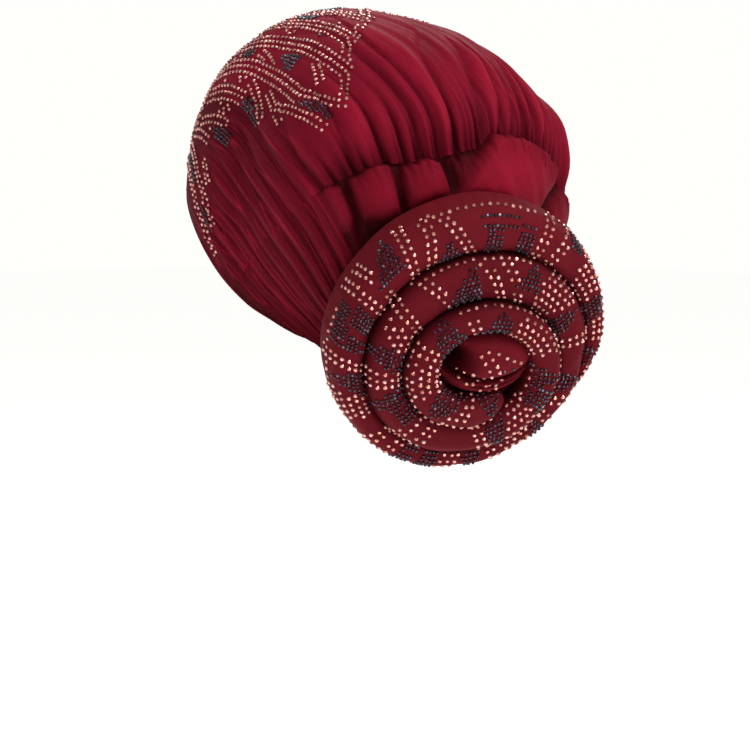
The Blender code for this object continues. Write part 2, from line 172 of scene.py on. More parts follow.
@dataclass(frozen=True)
class RosetteForm:
    """Form of the wound roll: its place, its turns and its section.

    The winding runs from start to end in degrees, rounded off over tail and tuck, and its
    ends keep the share tip of their thickness. overlap presses neighbouring turns together.
    """

    radius: float = 0.0785
    centre: tuple[float, float, float] = (0.027, 0.1245, -0.079)
    turn: float = math.radians(25)
    dip: float = math.radians(24)
    half_height: float = 0.0165
    dome: float = 0.026
    start: float = -35.0
    end: float = 1034.0
    tail: float = 60.0
    tuck: float = 60.0
    tip: float = 0.2
    overlap: float = 0.0012
    round_across: float = 0.62
    round_through: float = 0.9
    section_aspect: float = 0.7
    swell: float = 0.00045
    swell_pitch: float = 47.0
    # Columns: height, pitch in degrees, drift, lean, place round the section, breadth
    puckers: tuple[tuple[float, ...], ...] = (
        (0.00065, 6.1, 0.0, 0.0, 0.42, 0.16),
        (0.00040, 8.3, 1.7, 0.0, -0.50, 0.14),
        (0.0005, 23.0, 2.2, 40.0, 0.0, 0.35),
    )
    # Columns: turn, right, top, left, bottom, level as a share of the dome, half height
    turns: tuple[tuple[float, ...], ...] = (
        (0, 1.00, 1.00, 1.00, 1.00, 0.00, 1.00),
        (1, 0.855, 0.655, 0.75, 0.805, 0.08, 1.00),
        (2, 0.63, 0.34, 0.51, 0.555, 0.42, 1.00),
        (3, 0.40, 0.16, 0.29, 0.33, 0.78, 0.92),
        (4, 0.20, 0.02, 0.08, 0.12, 1.00, 0.80),
    )

    def axes(self) -> tuple[Grid, Grid, Grid, Grid]:
        """Centre of the rosette and its right, up and outward directions."""
        out = np.array([math.sin(self.turn) * math.cos(self.dip),
                        math.cos(self.turn) * math.cos(self.dip), -math.sin(self.dip)])
        right = np.array([-math.cos(self.turn), math.sin(self.turn), 0.0])
        return np.array(self.centre), right, np.cross(out, right), out

    def edge(self, degrees: Grid) -> Grid:
        """Outer edge of the winding in the rosette's plane: an ellipse whose quarters shrink.

        Args:
            degrees: Winding angle, growing inward.

        Returns:
            Points to the right and up, in metres.
        """
        table = np.array(self.turns)
        quarters = [look_up(np.column_stack([table[:, 0] * 360 + 90 * k, table[:, 1 + k]]),
                            degrees)[..., 0] for k in range(4)]
        right, top, left, bottom = quarters
        angle = np.radians(degrees)
        x = (right - left) / 2 + (right + left) / 2 * np.cos(angle)
        y = (top - bottom) / 2 + (top + bottom) / 2 * np.sin(angle)
        return self.radius * np.stack([x, y], axis=-1)

    def path(self, degrees: Grid) -> tuple[Grid, Grid, Grid, Grid, Grid]:
        """Middle, half width, direction across, level and half height of the roll.

        The roll fills the space between its outer edge and the edge one turn further in.

        Args:
            degrees: Winding angle.

        Returns:
            The five quantities at each angle.
        """
        outer, inner = self.edge(degrees), self.edge(degrees + 360)
        span = outer - inner
        length = np.linalg.norm(span, axis=-1)
        table = np.array(self.turns)
        level, tall = np.moveaxis(
            look_up(np.column_stack([table[:, 0], table[:, 5:]]), degrees / 360 + 0.5), -1, 0)
        return ((outer + inner) / 2, length / 2, span / length[..., None],
                level * self.dome, tall * self.half_height)

    def section(self, place: Grid) -> tuple[Grid, Grid]:
        """Unit section of the roll, a full-sided oval walked evenly along its outline.

        Args:
            place: -0.5 at the outer edge, 0 on top, 0.5 at the inner edge, 1 underneath.

        Returns:
            The share across towards the outer edge and the share of the height.
        """
        angle = np.linspace(0.0, 2 * np.pi, 1441)
        wide = np.sign(np.cos(angle)) * np.abs(np.cos(angle)) ** self.round_across
        high = np.sign(np.sin(angle)) * np.abs(np.sin(angle)) ** self.round_through
        step = np.hypot(np.diff(wide) * self.section_aspect, np.diff(high))
        walked = np.concatenate([[0.0], np.cumsum(step)]) / step.sum() * 2
        at = np.mod(place + 0.5, 2.0)
        return np.interp(at, walked, wide), np.interp(at, walked, high)

    def relief(self, degrees: Grid, place: Grid) -> Grid:
        """Padding and puckers: slow swells, and short creases that run in from both edges.

        Args:
            degrees: Winding angle.
            place: Place round the section.

        Returns:
            Height over the plain section, in metres.
        """
        found = self.swell * ripple(degrees, self.swell_pitch, 0.6) * np.cos(np.pi * place)
        walked = degrees * (1.25 - degrees / 1500)
        for height, pitch, drift, lean, middle, breadth in self.puckers:
            waves = ripple(walked + lean * place, pitch, drift)
            found = found + height * waves * bell((place - middle) / breadth)
        return found

    def points(self, degrees: Grid, place: Grid) -> Grid:
        """Surface of the roll: its section carried along the winding, narrowed at both ends.

        Args:
            degrees: Winding angle.
            place: Place round the section, from -1 to 1.

        Returns:
            Points in the cap's frame.
        """
        middle, half, across, level, tall = self.path(degrees)
        near = np.minimum(np.clip((degrees - self.start) / self.tail, 0.0, 1.0),
                          np.clip((self.end - degrees) / self.tuck, 0.0, 1.0))
        taper = self.tip + (1 - self.tip) * np.sqrt(1 - (1 - near) ** 2)
        wide, high = self.section(place)
        lift = self.relief(degrees, place) * smooth(near * 3)
        # The first turn has no neighbour on its outer side.
        pressed = self.overlap * (smooth((degrees - 200) / 160) * (wide > 0) + (wide < 0))
        sideways = (half * taper + pressed) * wide + lift * wide
        height = tall * taper * high + lift * high
        centre, right, up, out = self.axes()
        x = middle[..., 0] + across[..., 0] * sideways
        y = middle[..., 1] + across[..., 1] * sideways
        z = level + height
        return centre + x[..., None] * right + y[..., None] * up + z[..., None] * out


@dataclass(frozen=True)
class ClothForm:
    """Form of the crown and the flounce, one cloth from brow to nape.

    Lengths, heights and depths are in metres, other numbers are shares of the cloth.
    """

    rosette: RosetteForm = RosetteForm()
    half_length: float = 0.101
    half_width: float = 0.083
    crown_height: float = 0.1135
    centre_drop: float = 0.015
    tilt: float = math.radians(36)
    seam_lap: float = 0.060
    puff_height: float = 0.0058
    pleat_height: float = 0.0026
    groove_depth: float = 0.0035
    tent_height: float = 0.0135
    seam_sway: float = 0.012
    puff_sway: float = 0.018
    side_lean: float = 0.10
    middle_lean: float = 0.45
    uneven: float = 0.22
    deepening: float = 7.5
    deepening_spread: float = 5.0
    swelling: float = 0.8
    roundness: float = 0.85
    tent_flat: float = 0.70
    tent_ridge: float = 0.26
    tent_edge: float = 0.10
    tent_jag: float = 0.006
    tent_rise: float = 0.020
    crease_height: float = 0.0009
    crease_pitch: float = 0.064
    shirring_height: float = 0.0019
    shirring_pitch: float = 0.0250
    flounce_crease_height: float = 0.0006
    flounce_crease_pitch: float = 0.090
    flounce_shirring_height: float = 0.0009
    flounce_shirring_pitch: float = 0.0210
    hairline_height: float = 0.0009
    hairline_pitch: float = 0.034
    hem_depth: float = 0.0006
    tuck_depth: float = 0.0022
    gathered_half: float = 0.50
    gathered_ease: float = 0.08
    press_gap: float = 0.0012
    press_ease: float = 0.003
    # Columns: elevation, then reach at the front, front quarter, side, back quarter, back
    reach: tuple[tuple[float, ...], ...] = (
        (-60, 0.90, 0.90, 0.98, 1.00, 0.93),
        (-45, 0.92, 0.92, 1.02, 1.04, 1.08),
        (-30, 0.94, 0.94, 1.00, 1.14, 1.20),
        (-15, 0.95, 0.95, 0.975, 1.30, 1.29),
        (0, 0.955, 0.965, 0.98, 1.39, 1.355),
        (15, 0.97, 0.98, 0.995, 1.40, 1.365),
        (30, 1.00, 1.00, 1.00, 1.26, 1.29),
        (45, 1.01, 1.01, 1.01, 1.15, 1.17),
        (60, 1.005, 1.005, 1.01, 1.055, 1.07),
        (75, 1.00, 1.00, 1.00, 1.01, 1.015),
        (90, 1.00, 1.00, 1.00, 1.00, 1.00),
    )
    # Columns: turn from the brow, angle from the tilted axis, in degrees
    rim: tuple[tuple[float, float], ...] = (
        (0, 113.0), (50, 111.5), (76, 112.8), (91, 113.8),
        (108, 111.8), (121, 108.0), (137, 105.7), (180, 108.9),
    )
    # Columns: share across, share along where the cloth is gathered
    gather: tuple[tuple[float, float], ...] = (
        (-1.00, 0.33), (-0.75, 0.42), (-0.50, 0.48), (-0.35, 0.45), (-0.20, 0.405),
        (0.00, 0.380), (0.25, 0.388), (0.50, 0.330), (0.75, 0.29), (1.00, 0.28),
    )
    # Folds of the puffed back, from the middle outwards on both sides
    # Columns: width, crest, height on the left, on the right, share where the fold begins
    folds: tuple[tuple[float, ...], ...] = (
        (0.060, 0.50, 0.90, 1.00, 0.35),
        (0.058, 0.45, 1.00, 0.80, 0.30),
        (0.064, 0.55, 0.80, 1.00, 0.40),
        (0.056, 0.50, 1.05, 0.95, 0.28),
        (0.062, 0.45, 0.90, 0.85, 0.38),
        (0.058, 0.55, 1.00, 1.05, 0.30),
        (0.060, 0.50, 0.85, 0.90, 0.42),
        (0.062, 0.50, 0.95, 0.95, 0.34),
        (0.060, 0.45, 0.75, 0.80, 0.45),
    )
    # Pleats of the sides, further outwards, with the same columns
    pleats: tuple[tuple[float, ...], ...] = (
        (0.048, 0.70, 0.90, 1.00, 0.36),
        (0.046, 0.72, 1.00, 0.90, 0.34),
        (0.048, 0.68, 0.85, 1.00, 0.32),
        (0.044, 0.70, 1.05, 0.95, 0.30),
        (0.046, 0.72, 0.90, 1.00, 0.28),
        (0.046, 0.70, 1.00, 0.90, 0.26),
        (0.048, 0.68, 0.80, 0.85, 0.24),
        (0.044, 0.70, 0.70, 0.70, 0.22),
        (0.046, 0.70, 0.55, 0.55, 0.20),
    )
    # Columns: left edge across at the seam and below, right edge at both, peak across, rise
    # of the peak over the seam, height as a share of tent_height
    tents: tuple[tuple[float, ...], ...] = (
        (0.68, 0.74, 0.60, 0.60, 0.64, 0.010, 0.25),
        (0.60, 0.62, 0.505, 0.515, 0.54, 0.012, 0.50),
        (0.495, 0.505, 0.385, 0.395, 0.41, 0.022, 0.62),
        (0.375, 0.385, 0.255, 0.235, 0.29, 0.020, 0.64),
        (0.235, 0.200, 0.130, 0.200, 0.18, 0.004, 0.25),
        (0.125, 0.290, -0.29, -0.14, 0.080, 0.050, 0.84),
        (-0.29, -0.160, -0.42, -0.38, -0.33, 0.012, 0.50),
        (-0.43, -0.400, -0.54, -0.56, -0.48, 0.012, 0.45),
    )

    def direction(self, across: Grid, along: Grid) -> Grid:
        """Unit directions of the cloth: a square eased to a disc, bent over a tilted axis.

        Args:
            across: -1 at the right side, 1 at the left.
            along: -1 at the brow, 1 at the nape.

        Returns:
            Directions from the cap's centre.
        """
        side = across * np.sqrt(1 - along**2 / 2)
        back = along * np.sqrt(1 - across**2 / 2)
        reach = np.hypot(side, back)
        turn = np.degrees(np.arctan2(np.abs(side), -back))
        polar = np.radians(reach * look_up(np.array(self.rim), turn)[..., 0])
        straight = math.radians(self.rim[0][1])
        spread = np.where(reach > 1e-9, np.sin(polar) / np.maximum(reach, 1e-9), straight)
        axis = np.array([0.0, math.sin(self.tilt), math.cos(self.tilt)])
        rear = np.array([0.0, math.cos(self.tilt), -math.sin(self.tilt)])
        found = np.cos(polar)[..., None] * axis + (spread * back)[..., None] * rear
        found[..., 0] += spread * side
        return found

    def offset(self, across: Grid, along: Grid) -> Grid:
        """Plain form of the cap from its centre: directions scaled by the reach table.

        Args:
            across: Share across.
            along: Share along.

        Returns:
            Offsets from the cap's centre.
        """
        direction = self.direction(across, along)
        flat = np.hypot(direction[..., 0], direction[..., 1])
        elevation = np.degrees(np.arctan2(direction[..., 2], flat))
        turn = np.degrees(np.arctan2(np.abs(direction[..., 0]), -direction[..., 1]))
        share = look_across(look_up(np.array(self.reach), elevation), turn / 45.0)
        return share[..., None] * direction * (self.half_width, self.half_length, self.crown_height)

    def gather_line(self, across: Grid) -> Grid:
        """Place of the gather line along the cap."""
        return look_up(np.array(self.gather), across)[..., 0]

    def fold_rows(self) -> Grid:
        """Fold table with the start of each fold across and its height in metres."""
        rows = np.array(self.folds + self.pleats)
        tall = np.where(np.arange(len(rows)) < len(self.folds), self.puff_height, self.pleat_height)
        start = np.cumsum(rows[:, 0]) - rows[:, 0]
        return np.column_stack([start, rows[:, :2], rows[:, 2:4] * tall[:, None], rows[:, 4]])

    def fold_relief(self, across: Grid, share: Grid) -> Grid:
        """Folds of the crown, deepest at the seam: round in the puff, knife-edged at the sides.

        Each puff fold deepens at its own rate, and the cloth swells evenly until it does.

        Args:
            across: Share across.
            share: 0 at the brow, 1 at the gather line.

        Returns:
            Height of the folds, in metres.
        """
        rows = self.fold_rows()
        aside = np.abs(across)
        sway = self.seam_sway * np.sin(9 * share + 14 * across) * smooth((1 - share) * 4)
        waves = np.sin(17 * across + 0.8) * smooth((0.62 - aside) / 0.1)
        sway = sway + self.puff_sway * waves
        middle = smooth((0.25 - across) / 0.35) * smooth((across + 0.32) / 0.30)
        lean = self.side_lean + self.middle_lean * middle
        place = np.abs(across + sway + lean * (1 - share) * smooth((0.60 - aside) / 0.1))
        index = np.clip(np.searchsorted(rows[:, 0], place, side="right") - 1, 0, len(rows) - 1)
        puff = index < len(self.folds)
        start, width, crest, left, right, begin = np.moveaxis(rows[index], -1, 0)
        inside = np.clip((place - start) / width, 0.0, 1.0)
        rising = np.sin(np.pi / 2 * np.clip(inside / crest, 0.0, 1.0))
        falling = np.sin(np.pi / 2 * np.clip((1 - inside) / (1 - crest), 0.0, 1.0))
        knife = np.minimum(inside / crest, (1 - inside) / (1 - crest))
        profile = np.where(puff, np.minimum(rising, falling) ** self.roundness, knife)
        height = np.where(across >= 0, left, right)
        height = height * (1 + self.uneven * np.sin(33 * across + 0.7) * puff)
        grown = smooth((share - begin) / (1 - begin))
        rate = self.deepening + self.deepening_spread * np.sin(2.4 * index + 1.0)
        late = np.where(puff, grown**rate, grown)
        filled = np.where(puff, self.swelling * (grown**2 - late), 0.0)
        return height * (profile * late + filled)

    def tent_relief(self, across: Grid, down: Grid) -> Grid:
        """Folds of the flounce: flat-faced tents between slanting edges, peaked over the seam.

        Args:
            across: Share across.
            down: 0 at the gather line, 1 at the nape, a little less than 0 above the line.

        Returns:
            Height of the folds, in metres.
        """
        found = np.zeros_like(across)
        low = np.clip(down, 0.0, 0.22) / 0.17
        for left, left_low, right, right_low, peak, lap, height in self.tents:
            edges = left + (left_low - left) * low, right + (right_low - right) * low
            middle, half = (edges[0] + edges[1]) / 2, np.maximum((edges[0] - edges[1]) / 2, 1e-3)
            off = np.clip(np.abs(across - middle) / half, 0.0, 1.0)
            side = np.where(across > peak, left - peak, peak - right)
            apex = np.clip(1 - np.abs(across - peak) / side, 0.0, 1.0)
            jag = self.tent_jag * ripple(across, 0.045, 5 * height)
            rise = smooth((down + lap * apex**1.2 + jag - 0.004) / self.tent_rise)
            crest = peak + (middle - peak) * low * 0.5
            ridge = np.clip(1 - np.abs(across - crest) / half, 0.0, 1.0)
            face = self.tent_flat * (1 - off**4) + self.tent_ridge * ridge
            face = face + self.tent_edge * bell((off - 0.76) / 0.12)
            found = np.maximum(found, height * face * rise)
        shorter = smooth((across - 0.22) / 0.06)
        fade, over = 0.40 - 0.26 * shorter, 0.45 - 0.35 * shorter
        return self.tent_height * found * (1 - smooth((down - fade) / over))

    def groove(self, share: Grid) -> Grid:
        """Dip of the cloth towards the gather line, share being the distance from it."""
        return -self.groove_depth * bell(share / 0.05)

    def press_reach(self, direction: Grid) -> Grid:
        """Distance at which the cloth meets the back of the rosette.

        The roll's outer turn is taken as a full-sided tube, and the nearest step inside it
        along each direction is kept.

        Args:
            direction: Unit directions from the cap's centre.

        Returns:
            The distance, or 1 m where the rosette isn't met.
        """
        centre, right, up, out = self.rosette.axes()
        middle, half, _, level, tall = self.rosette.path(np.linspace(0, 360, 73))
        angle = np.degrees(np.arctan2(middle[:, 1], middle[:, 0])) % 360
        order = np.argsort(angle)
        far = np.hypot(middle[:, 0], middle[:, 1])[order]
        angle, half, level, tall = angle[order], half[order], level[order], tall[order]
        start = np.array([0.0, 0.0, -self.centre_drop])
        found = np.full(direction.shape[:-1], 1.0)
        for reach in np.linspace(0.22, 0.05, 171):
            point = start + reach * direction - centre
            x, y, z = point @ right, point @ up, point @ out
            turn = np.degrees(np.arctan2(y, x)) % 360
            wide = np.interp(turn, angle, half, period=360) + self.press_gap
            deep = np.interp(turn, angle, tall, period=360) + self.press_gap
            beyond = np.maximum(np.hypot(x, y) - np.interp(turn, angle, far, period=360), 0.0)
            lift = np.abs(z - np.interp(turn, angle, level, period=360))
            found = np.where((beyond / wide) ** 4 + (lift / deep) ** 2.3 < 1, reach, found)
        return found

    def points(self, across: Grid, along: Grid, relief: Grid) -> Grid:
        """Points of the cloth with its folds, pressed in behind the rosette.

        Args:
            across: Share across.
            along: Share along.
            relief: Height over the plain form, in metres.

        Returns:
            Points in the cap's frame.
        """
        offset = self.offset(across, along)
        length = np.linalg.norm(offset, axis=-1)
        direction = offset / length[..., None]
        free, limit = length + relief, self.press_reach(direction)
        near = np.clip(1 - np.abs(free - limit) / self.press_ease, 0.0, 1.0)
        reach = np.minimum(free, limit) - self.press_ease / 4 * near**2
        return np.array([0.0, 0.0, -self.centre_drop]) + direction * reach[..., None]

    def crown_relief(self, across: Grid, share: Grid) -> Grid:
        """Height of the crown's cloth: folds, hairline pleats, shirring at the seam and hem.

        Args:
            across: Share across.
            share: 0 at the brow, 1 at the gather line.

        Returns:
            Height over the plain form, in metres.
        """
        back = self.gathered(across)
        pinch = 1 - 0.45 * bell((1 - share) / 0.03) * back
        folds = self.fold_relief(across, share) * pinch
        loose = smooth((share - 0.45) / 0.45)
        bowed = across + 0.012 * np.sin(11 * share)
        creases = self.crease_height * ripple(bowed, self.crease_pitch) * loose * back
        shirring = self.shirring_height * ripple(across, self.shirring_pitch, 0.8)
        shirring = shirring * bell((1 - share) / 0.08) * back
        hairlines = self.hairlines(across) * smooth((share - 0.30) / 0.35)
        hem = -self.hem_depth * bell((share - 0.035) / 0.006) + 0.0004 * bell(share / 0.02)
        small = creases + shirring + hairlines + hem
        return folds + small + self.groove(1 - share) * back

    def gathered(self, across: Grid) -> Grid:
        """1 over the gathered back, easing to 0 over the pleated sides."""
        return 1 - smooth((np.abs(across) - self.gathered_half) / self.gathered_ease)

    def hairlines(self, across: Grid) -> Grid:
        """Height of the sharp fine lines between the side pleats."""
        lines = np.abs(ripple(across, self.hairline_pitch, 1.1))
        return self.hairline_height * bell(lines / 0.16) * (1 - self.gathered(across))

    def crown(self, across: Grid, share: Grid) -> Grid:
        """Outer face of the crown, from the brow to the gather line."""
        end = self.gather_line(across)
        return self.points(across, -1 + (end + 1) * share, self.crown_relief(across, share))

    def crown_at(self, across: Grid, along: Grid) -> Grid:
        """Outer face of the crown by its share along the whole cap."""
        return self.crown(across, (along + 1) / (self.gather_line(across) + 1))

    def flounce_relief(self, across: Grid, down: Grid) -> Grid:
        """Height of the flounce's cloth: what is left of the folds, tents and small creases.

        Above the gather line the cloth is tucked under the crown, so only the tents' peaks
        show over it. At the sides it lies flush and the crown's pleats run on unbroken.

        Args:
            across: Share across.
            down: 0 at the gather line, 1 at the nape.

        Returns:
            Height over the plain form, in metres.
        """
        folds = self.fold_relief(across, np.ones_like(across))
        back = self.gathered(across)
        carried = 0.3 * bell(down / 0.04) * back + (1 - back)
        shirring = self.flounce_shirring_height * ripple(
            across, self.flounce_shirring_pitch, 0.8) * bell(down / 0.05) * back
        creases = self.flounce_crease_height * ripple(
            across + 0.30 * down, self.flounce_crease_pitch) * smooth(down / 0.05) * back
        hairlines = self.hairlines(across) * (1 - smooth((down - 0.8) / 0.2))
        hem = -self.hem_depth * bell((down - 0.94) / 0.012)
        flush = -0.00012 * smooth(-down / 0.004) - 0.0020 * smooth((-down - 0.016) / 0.012)
        tuck = -self.tuck_depth * smooth(-down / 0.03) * back + flush * (1 - back)
        groove = self.groove(np.maximum(down, 0.0)) * back * 0.8
        small = shirring + creases + hairlines + hem + tuck + groove
        return folds * carried + self.tent_relief(across, down) * back + small

    def flounce(self, across: Grid, share: Grid) -> Grid:
        """Outer face of the flounce, from just above the gather line to the nape."""
        line = self.gather_line(across)
        return self.points(across, line + (1 - line) * self.below_seam(share),
                           self.flounce_relief(across, self.below_seam(share)))

    def below_seam(self, share: Grid) -> Grid:
        """Place below the gather line of a share of the flounce's whole length."""
        return -self.seam_lap + (1 + self.seam_lap) * share


# Meshes


def grid_mesh(name: str, points: Grid, closed: bool = False) -> bpy.types.Mesh:
    """Mesh of four-sided faces through a grid of points.

    Edges along the first and last rows of an open grid are sharp, so that a seam between
    two cloths doesn't shade as a line.

    Args:
        name: Name of the mesh.
        points: Points by row and column.
        closed: Whether the last column joins the first.

    Returns:
        The mesh, shaded smooth.
    """
    rows, columns = points.shape[:2]
    index = np.arange(rows * columns).reshape(rows, columns)
    after = np.roll(index, -1, axis=1) if closed else index[:, 1:]
    here = index if closed else index[:, :-1]
    faces = np.stack([here[:-1], after[:-1], after[1:], here[1:]], axis=-1).reshape(-1, 4)
    mesh = bpy.data.meshes.new(name)
    mesh.from_pydata(points.reshape(-1, 3), [], faces)
    mesh.shade_smooth()
    if not closed:
        ends = np.empty(len(mesh.edges) * 2, dtype=np.int32)
        mesh.edges.foreach_get("vertices", ends)
        row = ends.reshape(-1, 2) // columns
        rim = (row[:, 0] == row[:, 1]) & np.isin(row[:, 0], (0, rows - 1))
        mesh.attributes.new("sharp_edge", "BOOLEAN", "EDGE").data.foreach_set("value", rim)
    return mesh


def add_uv(mesh: bpy.types.Mesh, across: Grid, along: Grid) -> None:
    """Gives the mesh a UV map in metres.

    Args:
        mesh: Mesh whose vertices the two arrays follow.
        across: First coordinate of each vertex.
        along: Second coordinate of each vertex.
    """
    corner = np.empty(len(mesh.loops), dtype=np.int32)
    mesh.loops.foreach_get("vertex_index", corner)
    flat = np.stack([across.ravel(), along.ravel()], axis=-1)[corner]
    mesh.uv_layers.new(name="cloth").data.foreach_set("uv", flat.ravel().astype(np.float32))


def add_value(mesh: bpy.types.Mesh, name: str, values: Grid) -> None:
    """Gives the mesh a named value at each vertex."""
    layer = mesh.attributes.new(name, "FLOAT", "POINT")
    layer.data.foreach_set("value", values.ravel().astype(np.float32))


def add_piece(mesh: bpy.types.Mesh, *finishes: bpy.types.Material) -> bpy.types.Object:
    """Puts a mesh with its finishes in the scene, riding on the cap's one body."""
    piece = bpy.data.objects.new(mesh.name, mesh)
    bpy.context.scene.collection.objects.link(piece)
    for finish in finishes:
        mesh.materials.append(finish)
    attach(piece, "root")
    return piece


def make_solid(piece: bpy.types.Object, thickness: float) -> None:
    """Gives an open cloth its thickness, inwards from its outer face."""
    solid = piece.modifiers.new("cloth", "SOLIDIFY")
    solid.thickness = thickness
    solid.offset = -1.0


# Finishes


class Value:
    """A shader socket whose operators add Math nodes."""

    def __init__(self, finish: Finish, socket: bpy.types.NodeSocket) -> None:
        """Keeps the finish that the nodes go to and the socket."""
        self.finish = finish
        self.socket = socket

    def maths(self, operation: str, *others: Value | float) -> Value:
        """Result of one Math node on this value and others."""
        values = dict(enumerate((self, *others)))
        return self.finish.node("ShaderNodeMath", {"operation": operation}, values)

    def __add__(self, other: Value | float) -> Value:
        """Sum."""
        return self.maths("ADD", other)

    def __sub__(self, other: Value | float) -> Value:
        """Difference."""
        return self.maths("SUBTRACT", other)

    def __rsub__(self, other: float) -> Value:
        """Difference from a number."""
        return self.finish.node("ShaderNodeMath", {"operation": "SUBTRACT"}, {0: other, 1: self})

    def __mul__(self, other: Value | float) -> Value:
        """Product."""
        return self.maths("MULTIPLY", other)


class Finish:
    """A material under construction: one Principled shader and the nodes that feed it."""

    def __init__(self, name: str) -> None:
        """Makes the material.

        Args:
            name: Name of the material.
        """
        self.material = bpy.data.materials.new(name)
        self.material.use_nodes = True
        self.tree = self.material.node_tree
        self.shader = self.tree.nodes["Principled BSDF"]

    def node(self, kind: str, settings: dict, inputs: dict, output: int | str = 0) -> Value:
        """Adds a node.

        Args:
            kind: Type of the node.
            settings: Its properties, set before its sockets. "stops" are a ramp's stops.
            inputs: Values or numbers by the name or number of a socket.
            output: Name or number of the socket that is returned.

        Returns:
            The node's output.
        """
        made = self.tree.nodes.new(kind)
        for key, setting in settings.items():
            if key == "stops":
                ramp = made.color_ramp
                while len(ramp.elements) < len(setting):
                    ramp.elements.new(0.5)
                for element, (place, colour) in zip(ramp.elements, setting):
                    element.position = place
                    element.color = (*colour, 1.0)
            else:
                setattr(made, key, setting)
        for key, given in inputs.items():
            self.feed(made.inputs[key], given)
        return Value(self, made.outputs[output])

    def feed(self, socket: bpy.types.NodeSocket, given: Value | float | tuple) -> None:
        """Links a value to a socket or sets a number or colour on it."""
        if isinstance(given, Value):
            self.tree.links.new(given.socket, socket)
        else:
            socket.default_value = given

    def set(self, **inputs: Value | float | tuple) -> None:
        """Feeds the shader's own sockets, their names written with underscores."""
        for key, given in inputs.items():
            self.feed(self.shader.inputs[key.replace("_", " ")], given)

    def attribute(self, name: str) -> Value:
        """Value that the mesh keeps at each point under a name."""
        return self.node("ShaderNodeAttribute", {"attribute_name": name}, {}, "Fac")

    def noise(self, place: Value, scale: float, detail: float, roughness: float) -> Value:
        """Noise from 0 to 1 over a vector."""
        return self.node("ShaderNodeTexNoise", {}, {
            "Vector": place, "Scale": scale, "Detail": detail, "Roughness": roughness})

    def mix(self, share: Value | float, first: tuple | Value, second: tuple | Value) -> Value:
        """Colour between two colours."""
        return self.node("ShaderNodeMix", {"data_type": "RGBA"}, {0: share, 6: first, 7: second}, 2)


@dataclass(frozen=True)
class SatinFinish:
    """Brushed stretch satin: a soft, slightly uneven colour, with painted shade in its folds and
    painted highlights on its crests.
    """

    name: str
    # deep is the colour of full painted shade, and lit that of full painted light.
    deep: tuple[float, float, float]
    lit: tuple[float, float, float]
    roughness: float = 0.62
    thread: float = 0.0006
    crease: float = 0.0
    mottle_scale: float = 38.0
    nap_scale: float = 420.0
    crinkle_scale: float = 150.0
    line_breadth: float = 26.0
    bump_strength: float = 0.45
    bump_depth: float = 0.0007

    def build(self) -> bpy.types.Material:
        """Makes the material.

        Colour runs from deep to lit with the fold attribute, which carries painted light and shade,
        and with slow mottling, and fine painted highlight lines, also raised in the bump, run along
        the pleats. The weave is a product of two sine waves over the cloth's own map, under fine
        crinkles.

        Returns:
            The material.
        """
        finish = Finish(self.name)
        place = finish.node("ShaderNodeTexCoord", {}, {}, "Object")
        cloth = finish.node("ShaderNodeUVMap", {"uv_map": "cloth"}, {})
        fold = finish.attribute("fold")
        split = finish.node("ShaderNodeSeparateXYZ", {}, {"Vector": cloth}).socket.node.outputs
        across, along = Value(finish, split[0]), Value(finish, split[1])
        stretched = finish.node("ShaderNodeCombineXYZ", {}, {0: across * 420.0, 1: along * 16.0})
        pulled = finish.noise(stretched, 1.0, 3.0, 0.6)
        streak = (pulled - 0.5) * (0.12 * self.crease)
        # This mask gives fine lines along the pleats, raised in the bump and painted as highlights
        # in the colour.
        pleat = finish.attribute("pleat")
        drawn = finish.node("ShaderNodeCombineXYZ", {}, {0: across * 150.0, 1: along * 9.0})
        drift = finish.noise(drawn, 1.0, 1.0, 0.4)
        off = (drift - 0.5).maths("ABSOLUTE") * self.line_breadth
        line = (1.0 - off).maths("MAXIMUM", 0.0) * pleat
        mottle = finish.noise(place, self.mottle_scale, 3.0, 0.6)
        nap = finish.noise(place, self.nap_scale, 2.0, 0.7)
        # Painted light and shade: fold darkens the valleys and lights the crests, and line adds
        # painted highlights along the pleat ridges.
        share = fold * 0.82 + mottle * 0.30 + nap * 0.16 - 0.20 + streak + line * 0.42
        held = finish.node("ShaderNodeClamp", {}, {"Value": share})
        colour = finish.mix(held, (*self.deep, 1.0), (*self.lit, 1.0))
        turn = 2 * math.pi / self.thread
        weave = (across * turn).maths("SINE") * (along * turn).maths("SINE")
        crinkle = finish.noise(place, self.crinkle_scale, 4.0, 0.55)
        height = weave * 0.12 + crinkle * 0.9 + nap * 0.25 + pulled * self.crease + line * 1.6
        bump = finish.node("ShaderNodeBump", {}, {
            "Height": height, "Strength": self.bump_strength, "Distance": self.bump_depth})
        finish.set(Base_Color=colour, Roughness=mottle * 0.12 + (self.roughness - 0.06),
                   Normal=bump, Specular_IOR_Level=0.035, Sheen_Weight=0.018,
                   Sheen_Roughness=0.40, Sheen_Tint=(1.0, 0.42, 0.46, 1.0))
        finish.material.diffuse_color = (*self.lit, 1.0)
        return finish.material


